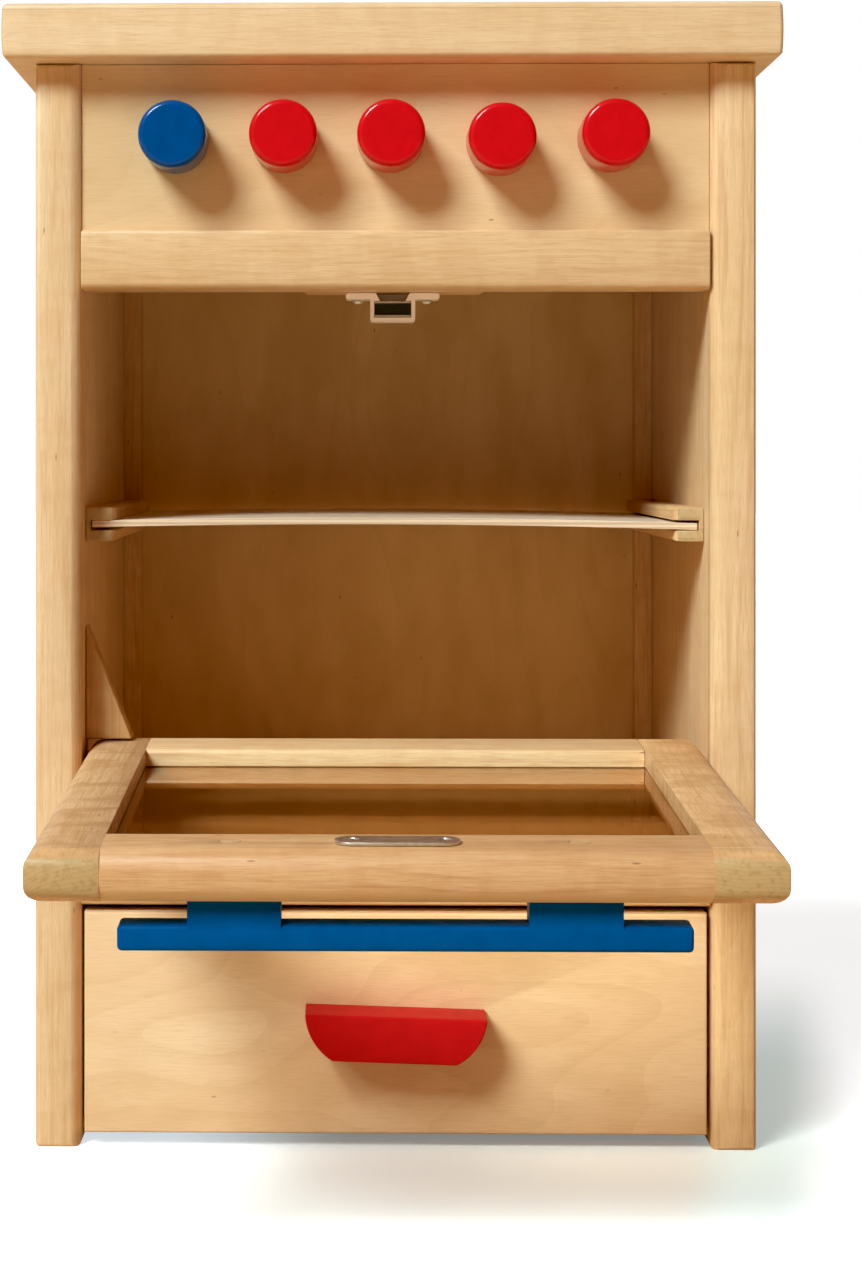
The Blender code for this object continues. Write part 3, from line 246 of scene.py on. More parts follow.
def plyFinish(name, colours, grain, face, shiftMm=(0, 0, 0), figure=0.10, tone=0.7, fibre=0.26, flecks=0.14,
              plyFromMm=0.0, layerMm=1.45, roughness=0.38):
    # rotary-cut birch veneer under satin lacquer: faint wandering contours, short bark dashes, plies on every edge
    finish, tree, shader = newFinish(name, IOR=1.5, Coat_Weight=0.12, Coat_Roughness=0.22, Specular_IOR_Level=0.4)
    place = addNode(tree, "TexCoord")
    laid, grown = laidGrain(tree, place, grain, shiftMm, plyMm)

    # the contours are height lines of slow hills, drawn over the tones
    steps = addNode(tree, "Math", {0: grown["hills"], 1: contourLook["count"]}, operation="MULTIPLY")
    part = addNode(tree, "Math", {0: steps}, operation="FRACT")
    line = addNode(tree, "MapRange", {
        "Value": part, "From Min": contourLook["from"], "From Max": contourLook["to"], "To Max": figure,
    }, interpolation_type="SMOOTHSTEP")
    colour = toned(tree, colours, grown, (
        ("tone", 0.36, 0.64, tone, 1),
        ("cloud", 0.42, 0.70, 0.25, 2),
        ("fibre", 0.42, 0.68, fibre, 2),
    ))

    # bark dashes come in patches
    where = addNode(tree, "MapRange", {"Value": grown["patch"], "From Min": 0.48, "From Max": 0.58})
    dash = flecked(tree, laid, 13, 4.6, (0.05, 0.13), flecks)
    fleck = addNode(tree, "Math", {0: dash, 1: where}, operation="MULTIPLY")
    for share, tint in ((line, 2), (fleck, 3)):
        colour = addNode(tree, "Mix", {"Factor": share, "A": colour, "B": srgb(colours[tint])}, data_type="RGBA")

    # every second ply shows its end grain at an edge and is darker
    axes = addNode(tree, "SeparateXYZ", {"Vector": (place, "Object")})
    off = addNode(tree, "Math", {0: (axes, face), 1: plyFromMm / 1000}, operation="SUBTRACT")
    layer = addNode(tree, "Math", {0: off, 1: 2 * layerMm / 1000}, operation="DIVIDE")
    over = addNode(tree, "Math", {0: layer}, operation="FRACT")
    band = addNode(tree, "MapRange", {
        "Value": over, "From Min": plyEdgeLook["bandFrom"], "From Max": plyEdgeLook["bandTo"],
        "To Max": plyEdgeLook["band"],
    })
    edges = {"Factor": band, "A": srgb(colours[1]), "B": srgb(colours[3])}
    edgeTone = addNode(tree, "Mix", edges, data_type="RGBA")
    facing = addNode(tree, "SeparateXYZ", {"Vector": (place, "Normal")})
    square = addNode(tree, "Math", {0: (facing, face)}, operation="ABSOLUTE")
    share = addNode(tree, "MapRange", {
        "Value": square, "From Min": plyEdgeLook["faceFrom"], "From Max": plyEdgeLook["faceTo"],
        "To Min": 1.0, "To Max": 0.0,
    })
    colour = addNode(tree, "Mix", {"Factor": share, "A": colour, "B": edgeTone}, data_type="RGBA")
    rough = (roughness - 0.04, roughness + 0.07)
    surfaced(tree, shader, colour, grown["fibre"], rough, grown["fibre"], 0.10, 0.1, between=(0.3, 0.7))
    return finish


# where the bull nose of the door starts, in millimetres along its grain
noseMm = -1000 * (0.2438 - pin.y * math.cos(doorTilt) - pin.z * math.sin(doorTilt))

# pale face, deeper tone, honey streak, brown fleck
paleWood = ("#F4D0A4", "#EAC18E", "#D3A068", "#8F5F33")
worktopWood = ("#F8D6AC", "#ECC592", "#D6A570", "#8F5F33")
railWood = ("#F6D2A4", "#EBC08E", "#D09A62", "#80502A")
heelWood = ("#FFDCAA", "#F8CC96", "#DCA068", "#80502A")
rosyWood = ("#E6B684", "#D89D68", "#BF7E48", "#84482A")
brownWood = ("#F5C896", "#E9B47E", "#CA945C", "#7A4E2A")
honeyWood = ("#F0C896", "#E3B47E", "#C88F55", "#80502A")
amberWood = ("#E2B884", "#D4A26A", "#B47C46", "#70441F")
plugGrain = ("#EEC494", "#E2B07C", "#CC925C", "#8A5A30")
yellowPly = ("#EEC78E", "#E2B67C", "#CB9A5C", "#7E5630")
controlVeneer = ("#F1CEA0", "#E8C08E", "#D4A570", "#84592F")
drawerVeneer = ("#F7D3A8", "#EDC294", "#D2A268", "#7E5630")
shelfVeneer = ("#FDE8D0", "#F6DABA", "#E0B88E", "#B08458")

# each seam, glue line or painted line of light, is its axis along the grain, place and width in millimetres, depth and
# tint
worktopSeams = (("Z", 599.3, 0.5, 0.30, "#8F5F33"), ("Y", 3.5, 0.4, 0.5, "#8F5F33"))
# a lighter band low on the door rail's nose: painted light standing in for light from the floor below
railNosePaintedLight = (("Z", 188.5, 12, 0.6, "#F0C88C"),)
# a pale line where the stile's bull nose starts: a painted highlight on that edge
stileNosePaintedHighlight = (("X", noseMm + 20, 0.5, 0.55, "#F8DDB4"),)

finishes = {
    "worktop": woodFinish(
        "LacqueredMapleWorktop", worktopWood, "x", ringMm=7.5, pithMm=(38, 60), tone=0.45, streak=0.20, ring=0.14,
        flecks=0.02, ends="#E6C392", seamsAndPaintedLines=worktopSeams),
    "panelLeft": woodFinish(
        "LacqueredMaplePanelLeft", paleWood, "z", ringMm=6.5, pithMm=(75, 30), shiftMm=(130, 17, 9), ring=0.14,
        flecks=0.03, ends="#D9BC8E"),
    "panelRight": woodFinish(
        "LacqueredMaplePanelRight", paleWood, "z", ringMm=3.2, pithMm=(44, 95), shiftMm=(410, 61, 33), ring=0.30,
        streak=0.45, flecks=0.02, ends="#D9BC8E"),
    "frontRail": woodFinish(
        "LacqueredMapleRail", railWood, "x", ringMm=4.2, pithMm=(12, 60), shiftMm=(77, 5, 12), streak=0.25,
        flecks=0.03, ends="#D2B080"),
    "doorRail": woodFinish(
        "LacqueredAlderDoorRail", rosyWood, "doorX", ringMm=4.6, pithMm=(34, 22), shiftMm=(52, 9, 3), tone=0.45,
        ring=0.20, streak=0.32, flecks=0.06, ends="#CFAE7E", roughness=0.50, coat=0.03, seamsAndPaintedLines=railNosePaintedLight),
    "doorHeelRail": woodFinish(
        "LacqueredMapleDoorHeelRail", heelWood, "doorX", pithMm=(60, 22), shiftMm=(230, 31, 12), ring=0.20,
        ends="#CFAE7E"),
    "doorStile": woodFinish(
        "LacqueredAlderDoorStile", brownWood, "doorY", ringMm=2.1, pithMm=(6, 90), shiftMm=(20, 13, 40), ring=0.20,
        streak=0.5, fibre=0.45, figure=0.60, flecks=0.06, ends="#CDA873", relief=0.2, roughness=0.48, coat=0.03,
        seamsAndPaintedLines=stileNosePaintedHighlight),
    "innerWood": woodFinish(
        "PlainInnerWood", honeyWood, "x", shiftMm=(11, 71, 5), ends="#C9A878", roughness=0.55),
    "runnerWood": woodFinish(
        "PlainRunnerWood", honeyWood, "y", shiftMm=(31, 41, 5), ends="#C9A878", roughness=0.50),
    "battenWood": woodFinish(
        "PlainBattenWood", honeyWood, "z", ringMm=3.0, shiftMm=(91, 21, 5), ends="#C9A878", roughness=0.50),
    "stopWood": woodFinish(
        "LacqueredStopBlock", amberWood, "z", shiftMm=(14, 8, 26), flecks=0.25, ends="#C9A878"),
    "plugWood": woodFinish("PalePlugWood", plugGrain, "doorX", ringMm=2.5, flecks=0.0),
    "boxWood": woodFinish(
        "PlainDrawerBoxWood", paleWood, "y", shiftMm=(31, 41, 95), ends="#D2B286", roughness=0.55),
    "boxBackWood": woodFinish(
        "PlainDrawerBackWood", paleWood, "x", shiftMm=(3, 11, 95), ends="#D2B286", roughness=0.55),
    "controlPly": plyFinish("BirchPlyControlPanel", controlVeneer, "x", "Y", shiftMm=(40, 0, 77), flecks=0.08),
    "drawerPly": plyFinish(
        "BirchPlyDrawerFront", drawerVeneer, "x", "Y", shiftMm=(-60, 0, 31), figure=0.16, plyFromMm=-14.0),
    "backPly": plyFinish(
        "BirchPlyBack", yellowPly, "z", "Y", shiftMm=(10, 0, 12), tone=0.4, fibre=0.10, flecks=0.10),
    "floorPly": plyFinish("BirchPlyFloor", yellowPly, "x", "Z", shiftMm=(10, 5, 12)),
    "shelfPly": plyFinish(
        "BirchPlyShelf", shelfVeneer, "x", "Z", shiftMm=(60, 5, 52), figure=0.08, layerMm=1.27),
}


def paintFinish(name, colour, shade, coat, roughness=0.36, chips=()):
    # sprayed satin enamel on sanded wood: one even colour, a crisp thin highlight, faint orange peel
    finish, tree, shader = newFinish(name, IOR=1.5, Coat_Weight=coat, Coat_Roughness=0.04, Specular_IOR_Level=0.08)
    place = addNode(tree, "TexCoord")
    cloud = addNode(tree, "TexNoise", {"Vector": (place, "Object"), "Scale": 130.0, "Detail": 3.0})
    mottle = addNode(tree, "MapRange", {"Value": cloud, "From Min": 0.4, "From Max": 0.7, "To Max": 0.5})
    tint = addNode(tree, "Mix", {"Factor": mottle, "A": srgb(colour), "B": srgb(shade)}, data_type="RGBA")
    for x, z, sizeMm in chips:
        # bare wood where the paint is knocked off
        centre = (x / 1000, 0.0, z / 1000)
        away = addNode(tree, "VectorMath", {0: (place, "Object"), 1: centre}, operation="SUBTRACT")
        flat = addNode(tree, "VectorMath", {0: away, 1: (1.0, 0.0, 1.0)}, operation="MULTIPLY")
        reach = addNode(tree, "VectorMath", {0: flat}, operation="LENGTH")
        bare = addNode(tree, "MapRange", {
            "Value": reach, "From Min": sizeMm / 2500, "From Max": sizeMm / 1600, "To Min": 1.0, "To Max": 0.0,
        })
        tint = addNode(tree, "Mix", {"Factor": bare, "A": tint, "B": srgb("#F0C9A4")}, data_type="RGBA")
    peel = addNode(tree, "TexNoise", {"Vector": (place, "Object"), "Scale": 700.0, "Detail": 1.0})
    surfaced(tree, shader, tint, cloud, (roughness - 0.05, roughness + 0.06), peel, 0.10, 0.08)
    return finish


# noise cells per metre: the drawn lines of rolled steel are 17 mm long and 0.35 mm apart
drawnLines = (60.0, 1000 / 0.35, 1000 / 0.35)


def metalFinish(name, colour, shade, roughness):
    # rolled and plated steel: bright, with fine drawn lines along x and a few dull smears
    finish, tree, shader = newFinish(name, Metallic=1.0)
    place = addNode(tree, "TexCoord")
    drawn = addNode(tree, "VectorMath", {0: (place, "Object"), 1: drawnLines}, operation="MULTIPLY")
    lines = addNode(tree, "TexNoise", {"Vector": drawn, "Scale": 1.0, "Detail": 2.0})
    smear = addNode(tree, "TexNoise", {"Vector": (place, "Object"), "Scale": 240.0, "Detail": 2.0})
    tint = addNode(tree, "Mix", {"Factor": smear, "A": srgb(colour), "B": srgb(shade)}, data_type="RGBA")
    surfaced(tree, shader, tint, lines, (roughness * 0.8, roughness * 1.3), lines, 0.15, 0.05, between=(0.3, 0.7))
    return finish


def plasticFinish(name, colour, shade, roughness, paintedGlow=0.0, glowFrom=0.0, glowDepth=0.003):
    # injection-moulded plastic: fine spark-eroded texture, slightly waxy
    finish, tree, shader = newFinish(name, IOR=1.49)
    place = addNode(tree, "TexCoord")
    grit = addNode(tree, "TexNoise", {"Vector": (place, "Object"), "Scale": 2200.0, "Detail": 2.0})
    cloud = addNode(tree, "TexNoise", {"Vector": (place, "Object"), "Scale": 180.0})
    tint = addNode(tree, "Mix", {"Factor": cloud, "A": srgb(colour), "B": srgb(shade)}, data_type="RGBA")
    surfaced(tree, shader, tint, grit, (roughness - 0.08, roughness + 0.08), grit, 0.2, 0.05)
    if paintedGlow:
        # painted light: an emission brightens pale plastic at its front and fades to none a little behind it, so that
        # recesses further back stay in shade
        axes = addNode(tree, "SeparateXYZ", {"Vector": (place, "Object")})
        paintedGlowShare = addNode(tree, "MapRange", {
            "Value": (axes, "Y"), "From Min": glowFrom, "From Max": glowFrom + glowDepth,
            "To Min": paintedGlow, "To Max": 0.0,
        })
        wire(tree, shader, {"Emission Color": srgb("#F3CDB4"), "Emission Strength": paintedGlowShare})
    return finish


windowLook = {
    # the tint is painted shade, darker than the clear sheet is; the dust is real
    "tint": "#B08C66", "dust": "#D8B890", "cellMm": 1000 / 170, "core": (0.05, 0.10), "dustFrom": -0.11,
    "dustTo": -0.05, "dusty": 0.34, "clean": 0.012, "lampColour": (0.93, 0.92, 0.90, 1.0),
}


def windowFinish(name, sizes):
    # cast acrylic sheet whose warm brown tint is painted shade, darkening what is seen through it while lamps pass
    # almost clear: it mirrors the oven, and wood dust lies towards its left
    finish, tree, shader = newFinish(name, IOR=1.49, Roughness=0.0)
    place = addNode(tree, "TexCoord")
    axes = addNode(tree, "SeparateXYZ", {"Vector": (place, "Object")})
    dusty = addNode(tree, "MapRange", {
        "Value": (axes, "X"), "From Min": sizes["dustFrom"], "From Max": sizes["dustTo"],
        "To Min": sizes["dusty"], "To Max": sizes["clean"],
    })
    speck = flecked(tree, (place, "Object"), sizes["cellMm"], sizes["cellMm"], sizes["core"], dusty, depth=1.0)
    dusted = {"Factor": speck, "A": srgb(sizes["tint"]), "B": srgb(sizes["dust"])}
    tint = addNode(tree, "Mix", dusted, data_type="RGBA")
    through = addNode(tree, "Math", {0: 1.0, 1: speck}, operation="SUBTRACT")
    wire(tree, shader, {"Base Color": tint, "Transmission Weight": through})
    # lamps shine through it, dimmed and warmed a little, so the drawer below stays lit
    ray = addNode(tree, "LightPath")
    clear = addNode(tree, "BsdfTransparent", {"Color": sizes["lampColour"]})
    split = addNode(tree, "MixShader", {0: (ray, "Is Shadow Ray"), 1: shader, 2: clear})
    wire(tree, tree.nodes["Material Output"], {"Surface": split})
    return finish


catchFront = min(corner.co.y for corner in frame["nodes"]["catch_housing"].data.vertices)
finishes.update({
    "blue": paintFinish("BlueEnamel", "#004E92", "#004480", 0.6),
    "barBlue": paintFinish("BlueBarEnamel", "#005596", "#004A86", 0.03, roughness=0.5),
    "red": paintFinish("RedEnamel", "#D8141D", "#CA1019", 0.6),
    "pullRed": paintFinish("RedPullEnamel", "#C61A1E", "#B8171B", 0.05, roughness=0.5, chips=((-58.6, 65.4, 0.7),)),
    "steel": metalFinish("NickelPlatedSteel", "#F4EEE4", "#B8AE9E", 0.40),
    "screwSteel": metalFinish("ZincPlatedScrewSteel", "#FAF6F0", "#C8C0B2", 0.34),
    "magnet": plasticFinish("FerriteMagnet", "#211F1E", "#2C2927", 0.5),
    # the cream catch housing glows at its front with painted light
    "cream": plasticFinish("CreamMouldedPlastic", "#FFF6EA", "#F6E8D6", 0.38, paintedGlow=0.15, glowFrom=catchFront),
    "window": windowFinish("ClearAcrylicSheet", windowLook),
})
print("finishes:", len(finishes))


def keepPiece(obj, body, look, slotName, *replaced):
    obj.data.materials.clear()
    obj.data.materials.append(finishes[look])
    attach(obj, body)
    if replaced:
        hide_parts(*replaced)
    return obj


def linked(name, mesh):
    obj = bpy.data.objects.new(name, mesh)
    scene.collection.objects.link(obj)
    return obj


def settled(obj):
    # the evaluated shape becomes a plain mesh and every modifier goes
    bpy.context.view_layer.update()
    mesh = bpy.data.meshes.new_from_object(obj.evaluated_get(bpy.context.evaluated_depsgraph_get()))
    mesh.validate()
    obj.modifiers.clear()
    obj.data = mesh
    mesh.name = obj.name
    return obj


easing = {"sharpDeg": 32, "gluedShare": 0.2}


def middleOf(line):
    return (line.verts[0].co + line.verts[1].co) / 2


def softened(obj, edge, segments=3, keep=None):
    # every sharp edge is eased, and one that keep picks, such as a glued joint's, only by a share of that
    shape = bmesh.new()
    shape.from_mesh(obj.data)
    weight = shape.edges.layers.float.new("bevel_weight_edge")
    for line in shape.edges:
        sharp = line.is_manifold and line.calc_face_angle() > math.radians(easing["sharpDeg"])
        kept = bool(sharp and keep and keep(middleOf(line)))
        line[weight] = easing["gluedShare"] if kept else float(sharp)
    for face in shape.faces:
        face.smooth = True
    shape.to_mesh(obj.data)
    shape.free()
    rounding = obj.modifiers.new("edge", "BEVEL")
    rounding.width = edge
    rounding.segments = segments
    rounding.limit_method = "WEIGHT"
    rounding.harden_normals = True
    return settled(obj)


cleaning = {"merge": 0.00001, "flatDeg": 0.6, "tiny": 0.0000005}


def cleanMesh(mesh):
    # a CAD node's mesh is loose triangles, so a copy is merged and its flat faces are joined again
    shape = bmesh.new()
    shape.from_mesh(mesh)
    bmesh.ops.remove_doubles(shape, verts=shape.verts, dist=cleaning["merge"])
    flat = math.radians(cleaning["flatDeg"])
    bmesh.ops.dissolve_limit(shape, angle_limit=flat, verts=shape.verts, edges=shape.edges)
    return shape


def prism(outline, low, high, axis):
    # a closed bar whose section is an outline in the two other axes, taken in the order x, y, z
    others = [i for i in range(3) if i != axis]
    shape = bmesh.new()
    rings = []
    for level in (low, high):
        ring = []
        for point in outline:
            place = [level] * 3
            place[others[0]], place[others[1]] = point
            ring.append(shape.verts.new(place))
        rings.append(ring)
    count = len(outline)
    for ring in rings:
        shape.faces.new(ring)
    for i in range(count):
        j = (i + 1) % count
        shape.faces.new((rings[0][i], rings[0][j], rings[1][j], rings[1][i]))
    bmesh.ops.recalc_face_normals(shape, faces=shape.faces)
    return shape


def meshOf(name, shape):
    mesh = bpy.data.meshes.new(name)
    shape.to_mesh(mesh)
    shape.free()
    return mesh


def carved(obj, cutters):
    for cutter in cutters:
        tool = linked("cutter", meshOf("cutter", cutter))
        cut = obj.modifiers.new("cut", "BOOLEAN")
        cut.operation = "DIFFERENCE"
        cut.solver = "EXACT"
        cut.object = tool
        settled(obj)
        bpy.data.objects.remove(tool)
    return obj


# a glued end reaches over the CAD's gap, and its edges are found near the joint's plane
glueSizes = {"onPlane": 0.00005, "reach": 0.00028, "nearPlane": 0.0004}


def refined(node, body, look, slotName, edge, rounds=(), cutters=(), crease=None, glued=(), opening=None):
    # the CAD solid again, with its edges eased and its curves shaded smooth; glued names the sides (-1, 1) where it
    # meets its neighbour in x and stays nearly square, but for an opening from y to y
    shape = cleanMesh(frame["nodes"][node].data)
    low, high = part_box(node)
    planes = [low.x if side < 0 else high.x for side in glued]
    for vert in shape.verts:
        for side, plane in zip(glued, planes):
            if not opening and abs(vert.co.x - plane) < glueSizes["onPlane"]:
                vert.co.x += side * glueSizes["reach"]
    for at in opening or ():
        whole = list(shape.verts) + list(shape.edges) + list(shape.faces)
        bmesh.ops.bisect_plane(shape, geom=whole, plane_co=(0, at, 0), plane_no=(0, 1, 0))
    for radius, segments, picks in rounds:
        chosen = [e for e in shape.edges if picks(middleOf(e), (e.verts[1].co - e.verts[0].co).normalized())]
        bmesh.ops.bevel(shape, geom=chosen, offset=radius, segments=segments, profile=0.5, affect="EDGES",
                        clamp_overlap=True)
    obj = carved(linked(node + "_fine", meshOf(node + "_fine", shape)), cutters)
    if crease:
        shape = cleanMesh(obj.data)
        for line in shape.edges:
            if crease(middleOf(line)):
                line.smooth = False
        shape.to_mesh(obj.data)
        shape.free()

    def atJoint(middle):
        inOpening = opening and opening[0] < middle.y < opening[1]
        return not inOpening and any(abs(middle.x - plane) < glueSizes["nearPlane"] for plane in planes)

    return keepPiece(softened(obj, edge, keep=atJoint), body, look, slotName, node)


def arcPoints(start, end, sagitta, steps):
    # points of the flat arc from start to end that bulges by sagitta to the left of its chord
    chord = math.dist(start, end)
    half = 2 * math.atan(2 * sagitta / chord)
    radius = chord / 2 / math.sin(half)
    alongX, alongY = (end[0] - start[0]) / chord, (end[1] - start[1]) / chord
    points = []
    for i in range(steps + 1):
        angle = -half + 2 * half * i / steps
        run = chord / 2 + radius * math.sin(angle)
        rise = radius * (math.cos(angle) - math.cos(half))
        points.append((start[0] + alongX * run - alongY * rise, start[1] + alongY * run + alongX * rise))
    return points


def doorPlace(point):
    # along the door from its pins, and across it towards the oven side
    y, z = point.y - pin.y, point.z - pin.z
    return (-y * math.cos(doorTilt) - z * math.sin(doorTilt), -y * math.sin(doorTilt) + z * math.cos(doorTilt))


# worktop: edge-glued board whose routed edges start in a crisp line, with sawn ends sanded a little round
worktopSizes = {"edgeMm": 2.3, "edgeProfile": 0.42, "edgeSteps": 6, "pillowMm": 0.7, "pillowSteps": 8, "creaseDeg": 35}


def makeWorktop(sizes):
    low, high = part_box("worktop")
    shape = bmesh.new()
    bmesh.ops.create_cube(shape, size=1.0)
    middle, span = (low + high) / 2, high - low
    for vert in shape.verts:
        vert.co = Vector(middle[i] + vert.co[i] * span[i] for i in range(3))
    bmesh.ops.bevel(shape, geom=shape.edges[:], offset=sizes["edgeMm"] / 1000, segments=sizes["edgeSteps"],
                    profile=sizes["edgeProfile"], affect="EDGES")
    upright = [e for e in shape.edges if abs(e.verts[0].co.z - e.verts[1].co.z) > span.z / 2]
    bmesh.ops.subdivide_edges(shape, edges=upright, cuts=sizes["pillowSteps"], use_grid_fill=True)
    for vert in shape.verts:
        side = 1 if vert.co.x > middle.x else -1
        up = (vert.co.z - middle.z) / (span.z / 2)
        if abs(vert.co.x - middle.x) > span.x * 0.4:
            vert.co.x -= side * sizes["pillowMm"] / 1000 * up * up
    bmesh.ops.recalc_face_normals(shape, faces=shape.faces)
    mesh = meshOf("worktop_board", shape)
    mesh.shade_smooth()
    mesh.set_sharp_from_angle(angle=math.radians(sizes["creaseDeg"]))
    return keepPiece(linked("worktop_board", mesh), "cabinet", "worktop", "solid_wood", "worktop")


makeWorktop(worktopSizes)

# side panels: the inner front edge is a routed round that starts in a crisp line
panelSizes = {"routMm": 5.5, "sagittaMm": 0.85, "routSteps": 8, "topMm": 1.3, "topSteps": 6, "easedMm": 0.4}


def makePanel(side, sizes):
    node = "side_panel_" + side
    low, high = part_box(node)
    rout, bulge = sizes["routMm"] / 1000, sizes["sagittaMm"] / 1000
    inner, turn = (high.x, 1) if side == "left" else (low.x, -1)
    start, end = (inner - turn * rout, low.y), (inner, low.y + rout)
    arc = arcPoints(start, end, -turn * bulge, sizes["routSteps"])
    outside = [(inner + turn * rout, low.y + rout), (inner + turn * rout, low.y - rout), (start[0], low.y - rout)]
    cutter = prism(arc + outside, low.z - rout, high.z + rout, 2)

    def crisp(middle):
        return abs(middle.y - low.y) < 0.00003 and abs(middle.x - start[0]) < 0.00003

    def topEdge(middle, along):
        return abs(middle.z - high.z) < 0.0001 and middle.y < low.y + rout * 1.5

    refined(node, "cabinet", "panel" + side.capitalize(), "solid_wood", sizes["easedMm"] / 1000,
            rounds=((sizes["topMm"] / 1000, sizes["topSteps"], topEdge),), cutters=(cutter,), crease=crisp)


for side in ("left", "right"):
    makePanel(side, panelSizes)

# boards that keep their CAD shape: node, body, finish, slot, eased edge in mm
boards = (
    ("front_rail", "cabinet", "frontRail", "solid_wood", 0.8),
    ("runner_left", "cabinet", "runnerWood", "solid_wood", 0.4),
    ("runner_right", "cabinet", "runnerWood", "solid_wood", 0.4),
    ("stop_block", "cabinet", "stopWood", "solid_wood", 0.3),
    ("sill_rail", "cabinet", "innerWood", "solid_wood", 0.5),
    ("catch_block", "cabinet", "innerWood", "inner_wood", 0.4),
    ("strike_plate", "door", "steel", "nickel", 0.35),
    ("drawer_front", "drawer", "drawerPly", "ply", 0.4),
    ("drawer_side_left", "drawer", "boxWood", "inner_wood", 0.5),
    ("drawer_side_right", "drawer", "boxWood", "inner_wood", 0.5),
    ("drawer_back", "drawer", "boxBackWood", "inner_wood", 0.5),
    ("drawer_pull", "drawer", "pullRed", "red_paint", 0.35),
)
for node, body, look, slotName, edgeMm in boards:
    refined(node, body, look, slotName, edgeMm / 1000)


# door frame: its rails are glued between the stiles, which lie open beside the window
frameSizes = {"edge": 0.0004, "opening": (-0.2075, -0.0275), "heelRound": 0.0028, "heelSteps": 6, "heelReach": 0.011}


def heelRailEdge(middle, along):
    # the edge of the lower door rail beside the window, on the oven side
    reach, across = doorPlace(middle)
    return abs(along.x) > 0.99 and abs(reach - frameSizes["heelReach"]) < 0.0006 and across > 0.0115


heelRounds = ((frameSizes["heelRound"], frameSizes["heelSteps"], heelRailEdge),)
doorFrame = (
    ("door_top_rail", "doorRail", {"glued": (-1, 1)}),
    ("door_bottom_rail", "doorHeelRail", {"glued": (-1,), "rounds": heelRounds}),
    ("door_stile_left", "doorStile", {"glued": (1,), "opening": frameSizes["opening"]}),
    ("door_stile_right", "doorStile", {"glued": (-1,), "opening": frameSizes["opening"]}),
)
for node, look, settings in doorFrame:
    refined(node, "door", look, "door_wood", frameSizes["edge"], **settings)

handleSizes = {"edge": 0.0004, "chamfer": 0.0026, "nearEnd": 0.002}


def handleCorner(middle, along):
    # the corners of the bar's two ends, seen from its front
    low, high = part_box("door_handle")
    fromEnd = min(middle.x - low.x, high.x - middle.x)
    return abs(along.x) < 0.1 and abs(along.y) > 0.9 and fromEnd < handleSizes["nearEnd"]


refined("door_handle", "door", "barBlue", "blue_paint", handleSizes["edge"],
        rounds=((handleSizes["chamfer"], 1, handleCorner),))
print("boards, door frame and handle set")

# CAD nodes that are right as they are get their finish only
plainNodes = {
    "control_panel": "controlPly", "back_panel": "backPly", "oven_floor": "floorPly", "drawer_bottom": "floorPly",
    "door_window": "window", "catch_housing": "cream", "catch_magnet": "magnet",
    "catch_pole_upper": "steel", "catch_pole_lower": "steel",
    **{f"spindle_{i}": "innerWood" for i in range(1, 6)},
}
plainPairs = {
    "floor_cleat": "runnerWood", "drawer_runner": "runnerWood", "back_batten": "battenWood",
    "hinge_pin": "innerWood", "door_plug": "plugWood",
}
for name, look in plainPairs.items():
    for side in ("left", "right"):
        plainNodes[f"{name}_{side}"] = look
for node, look in plainNodes.items():
    mesh = frame["nodes"][node].data
    mesh.materials.clear()
    mesh.materials.append(finishes[look])
print("CAD nodes kept:", len(plainNodes))


def newTree(name, sizes):
    # a tree with one named input for each size, ending in its output
    tree = bpy.data.node_groups.new(name, "GeometryNodeTree")
    tree.interface.new_socket("Geometry", in_out="INPUT", socket_type="NodeSocketGeometry")
    for key, value in sizes.items():
        kind = "Material" if key == "Finish" else "Vector" if isinstance(value, tuple) else "Float"
        tree.interface.new_socket(key, in_out="INPUT", socket_type="NodeSocket" + kind)
    tree.interface.new_socket("Geometry", in_out="OUTPUT", socket_type="NodeSocketGeometry")
    return tree, addNode(tree, "NodeGroupInput")


def worked(tree, known, steps):
    # each step is a name, an operation and its operands, which are earlier names or numbers
    for key, operation, *operands in steps:
        inputs = {i: known.get(value, value) for i, value in enumerate(operands)}
        known[key] = addNode(tree, "Math", inputs, operation=operation)
    return known


def endTree(tree, given, geometry):
    real = addNode(tree, "GeometryNodeRealizeInstances", {"Geometry": geometry})
    dressed = addNode(tree, "GeometryNodeSetMaterial", {"Geometry": real, "Material": (given, "Finish")})
    addNode(tree, "NodeGroupOutput", {"Geometry": dressed})
    return tree


def grownFrom(name, tree, sizes, mesh=None):
    # an object with the tree on it, given its sizes, then made a plain mesh
    obj = linked(name, mesh or bpy.data.meshes.new(name))
    work = obj.modifiers.new("tree", "NODES")
    work.node_group = tree
    for item in tree.interface.items_tree:
        if item.in_out == "INPUT" and item.name in sizes:
            work[item.identifier] = sizes[item.name]
    return settled(obj)


def facingOut(obj):
    shape = bmesh.new()
    shape.from_mesh(obj.data)
    bmesh.ops.dissolve_degenerate(shape, edges=shape.edges, dist=cleaning["tiny"])
    bmesh.ops.recalc_face_normals(shape, faces=shape.faces)
    shape.to_mesh(obj.data)
    shape.free()
    return obj


# knobs: one turned shape from radius, length and the roundings of its two rims
knobSizes = {"Radius": 0.01775, "Length": 0.0302, "Face round": 0.0030, "Back round": 0.0015}

